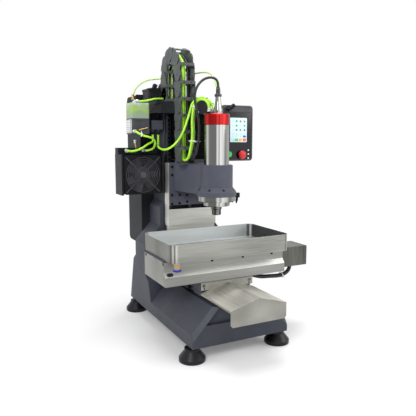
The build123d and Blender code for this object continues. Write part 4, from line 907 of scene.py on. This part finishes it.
CHAIN_HOSES = (
    ("lime", -84, 5.5, -5, LIME), ("dark", -60, 4.5, 4, CABLE), ("lime_inner", -71, 4.5, 6, LIME),
    ("dark_inner", -92, 4.0, 9, CABLE), ("dark_third", -80, 4.5, 12, CABLE),
    ("dark_fourth", -52, 4.0, 12, CABLE))
BEND_RADIUS, BEND_Y, BEND_HEIGHT = 70, 187, 996
FRONT_FOOT, FRONT_TOP, REAR_TOP, REAR_FOOT = 668, 998, 1000, 900
LINK_PITCH, BAR_FRONT, FIRST_BAR, LAST_BAR = 60, 87.9, 715.4, 955.4


def chain_paths(x, depth):
    """A hose's three routes in the chain: the front strand, the half circle at the top, the rear strand."""
    reach = BEND_RADIUS - depth
    front, rear = BEND_Y - reach, BEND_Y + reach
    angle = np.linspace(np.pi, 0, 60)
    bend = (np.full(60, float(x)), BEND_Y + reach * np.cos(angle), BEND_HEIGHT + reach * np.sin(angle))
    return {"front": row((x, front, FRONT_FOOT), (x, front, FRONT_TOP), 60),
            "bend": np.stack(bend, axis=1) * MM - ORIGIN,
            "rear": row((x, rear, REAR_TOP), (x, rear, REAR_FOOT), 24)}


def chain_contents():
    """Dark discs painted as the shade in the holes of the front strand's cross bars, and the hoses and cables
    along all three stretches.
    """
    heights = np.arange(FIRST_BAR, LAST_BAR + 1, LINK_PITCH)
    holes = [at(x, BAR_FRONT, z) for x in (-86, -60) for z in heights]
    bar_holes = discs("chain_bar_holes", holes, FRONT, SCREW, None, radius=0.0026)
    follow_head(bar_holes, *FRONT_STRAND_ENDS)
    for label, x, radius, depth, finish in CHAIN_HOSES:
        for part, path in chain_paths(x, depth).items():
            body = "chain_loop" if part == "bend" else None
            made = tube(f"chain_hose_{label}_{part}", path, radius * MM, finish, body, sides=14)
            if part == "front":
                follow_head(made, *FRONT_STRAND_ENDS)
            elif part == "rear":
                follow_head(made, *REAR_STRAND_ENDS)


# Hose ends and ties

CAP_COLLAR, HOSE_COLLAR, TANK_COLLAR, NUT_COLLAR = 0.0066, 0.0072, 0.0068, 0.0056
STRAP_LENGTH, BLOCK_LENGTH = 0.013, 0.005


def collar(name, place, axis, body, radius, length, finish=MILLED):
    """A push-in collar on a hose end: a sleeve that narrows to a release ring.

    Its profile is turned round the hose, and its grip's radius is a cosine wave of the angle."""
    sides, ridges, ridge_share = 36, 12, 0.035
    knurl = 1 + ridge_share * np.cos(ridges * round_angles(sides))
    plain = np.ones(sides)
    shares = ((0.62, plain), (1.0, knurl), (1.0, knurl), (0.82, plain), (0.82, plain), (0.95, plain),
              (0.95, plain), (0.62, plain))
    radii = np.stack([radius * share * grip for share, grip in shares])
    heights = np.array((0, 0.02, 0.5, 0.56, 0.72, 0.76, 1.0, 1.0)) * length
    return piece(name, *copies(turned(radii, heights, axis, sides), [place]), finish, body, crease=35)


def hose_collars():
    """Collars where the hoses leave the spindle cap, the radiator, the manifold, the pump and the tank."""
    for number, (x, y) in enumerate(((-25, 12), (-12, 31), (6, 40), (25, 31))):
        collar(f"cap_port_collar_{number}", at(x, y, 846), UP, "head", CAP_COLLAR, 0.013)
    collar("radiator_collar_left", at(-262, 252, 704), FRONT, "frame", HOSE_COLLAR, 0.012)
    collar("radiator_collar_right", at(-201, 252, 704), RIGHT, "frame", HOSE_COLLAR, 0.016)
    for x in (-149, -125):
        collar(f"manifold_collar_{-x}", at(x, 262, 779), DOWN, "frame", HOSE_COLLAR, 0.012, BLACK)
    collar("pump_collar", at(-236, 228, 778), FRONT, "frame", HOSE_COLLAR, 0.012)
    collar("tank_collar", at(-221, 246, 893), RIGHT, "frame", TANK_COLLAR, 0.010)


def tie(name, centre, half, axis, body, tail):
    """A cable tie: a flat band round an ellipse, a rounded lock block on it and the cut end of its strap.

    The band is a rectangle carried round the ellipse of those two half widths."""
    sides, thick, half_width = 40, 1.1, 1.8
    across, aside, along = directions(axis)
    angle = round_angles(sides)
    cosine, sine = np.cos(angle)[:, None], np.sin(angle)[:, None]
    section = MM * np.array(
        ((0.0, -half_width), (thick, -half_width), (thick, half_width), (0.0, half_width)))
    out = cosine * across + sine * aside
    spine = centre + MM * (half[0] * cosine * across + half[1] * sine * aside)
    band = spine[:, None] + section[None, :, :1] * out[:, None] + section[None, :, 1:] * along
    piece(name + "_band", band, quads(sides, 4, join_rows=True), WHITE, body, crease=50)
    direction = np.array(tail, float) / np.linalg.norm(tail)
    lock = centre + direction * MM * max(half)
    strap = np.linspace(lock, lock + direction * STRAP_LENGTH, 8)
    tube(name + "_strap", strap, np.linspace(0.0013, 0.0009, 8), WHITE, body, sides=8)
    block = np.linspace(lock, lock + direction * BLOCK_LENGTH, 6)
    tube(name + "_lock", block, 0.0028, WHITE, body, sides=10)


def cable_ties():
    """Two ties round the bundle behind the spindle, one on the conduit and one on the pump's hose."""
    tie("tie_upper", at(-64, 60, 862), (13, 9), (0.5, 0.2, 1), "head", (0.8, -0.3, -0.7))
    tie("tie_lower", at(-66, 64, 740), (16, 13), (0.12, 0.05, 1), "head", (1, -0.35, 0.0))
    tie("conduit_tie", at(300, 3, 203), (10.5, 10.5), (1, 0.1, 0.25), "table", (0.5, -0.5, -0.6))
    tie("pump_tie", at(-220, 188, 763), (5.4, 5.4), (0.6, -0.2, -0.3), "frame", (-0.2, -0.3, 0.9))


# Small parts of the cooling unit

GRILLE_FOOT, GRILLE_TOP, GRILLE_FRONT, GRILLE_BACK = 772, 824, 237.5, 301
GRILLE_FACE, GRILLE_RIM, GRILLE_RIBS, RIB_HEIGHT, RIB_STEEPNESS = -246.4, -243.0, 6, 0.9, 1.6


def pump_grille():
    """The pump's white grille: a sheet whose depth is a wave of height, cut flat, with its rim bent back."""
    heights = np.linspace(GRILLE_FOOT, GRILLE_TOP, 97)
    z, y = np.meshgrid(heights, np.linspace(GRILLE_FRONT, GRILLE_BACK, 9), indexing="ij")
    ribs = (z - GRILLE_FOOT) / (GRILLE_TOP - GRILLE_FOOT) * GRILLE_RIBS
    wave = np.clip(RIB_STEEPNESS * np.cos(2 * np.pi * ribs), -1, 1)
    upright_rim = (z < GRILLE_FOOT + 1) | (z > GRILLE_TOP - 1)
    side_rim = (y < GRILLE_FRONT + 0.5) | (y > GRILLE_BACK - 0.5)
    x = np.where(upright_rim | side_rim, GRILLE_RIM, GRILLE_FACE - RIB_HEIGHT * (wave - 1) / 2)
    points = np.stack((x, y, z), axis=-1) * MM - ORIGIN
    faces = quads(*z.shape, join_columns=False)[:, ::-1]
    piece("pump_grille", points, faces, WHITE, "frame", crease=50)


def pump_fittings():
    """The pump's tap, its drip tube with a nut, and the air line's union on the cabinet."""
    tube("pump_tap", row((-216, 233.5, 783), (-180, 232.0, 792), 10), 0.0024, BRASS_ROD, "frame", sides=12)
    tube("pump_drip_tube", row((-222, 262, 735), (-219, 262, 712), 8), 0.0030, BRASS_ROD, "frame", sides=12)
    collar("pump_drip_nut", at(-222.4, 262, 746), DOWN, "frame", NUT_COLLAR, 0.012)
    collar("air_union", at(-205, 330, 904), UP, "frame", NUT_COLLAR, 0.022, BRASS_ROD)


# The whole scene

make_camera()
make_world()
make_floor()
for lamp_values in LAMPS:
    soft_light(*lamp_values)
scene.view_settings.view_transform = "Standard"

for finish, cad_nodes in NODE_FINISHES.items():
    for cad_node in cad_nodes:
        dress(cad_node, finish)
follow_head(merged_copy("bellows_pleats", "z_bellows"), *BELLOWS_ENDS)
follow_head(merged_copy("chain_rear_strand", "drag_chain_rear"), *REAR_STRAND_ENDS)
follow_head(merged_copy("chain_front_strand", "drag_chain_front"), *FRONT_STRAND_ENDS)

for name in ("hose_pump_radiator", "hose_radiator_manifold", "hose_spindle_return", "hose_second",
             "hose_tank_return"):
    lay_cord(name, LIME)
lay_cord("spindle_cable", CABLE)
lay_crossing_cords()

slide_plate_screws()
skirt_fasteners()
way_cover_fasteners()
rail_bolts()
flange_screws()
panel_screen()
chain_contents()
hose_collars()
cable_ties()
pump_grille()
pump_fittings()
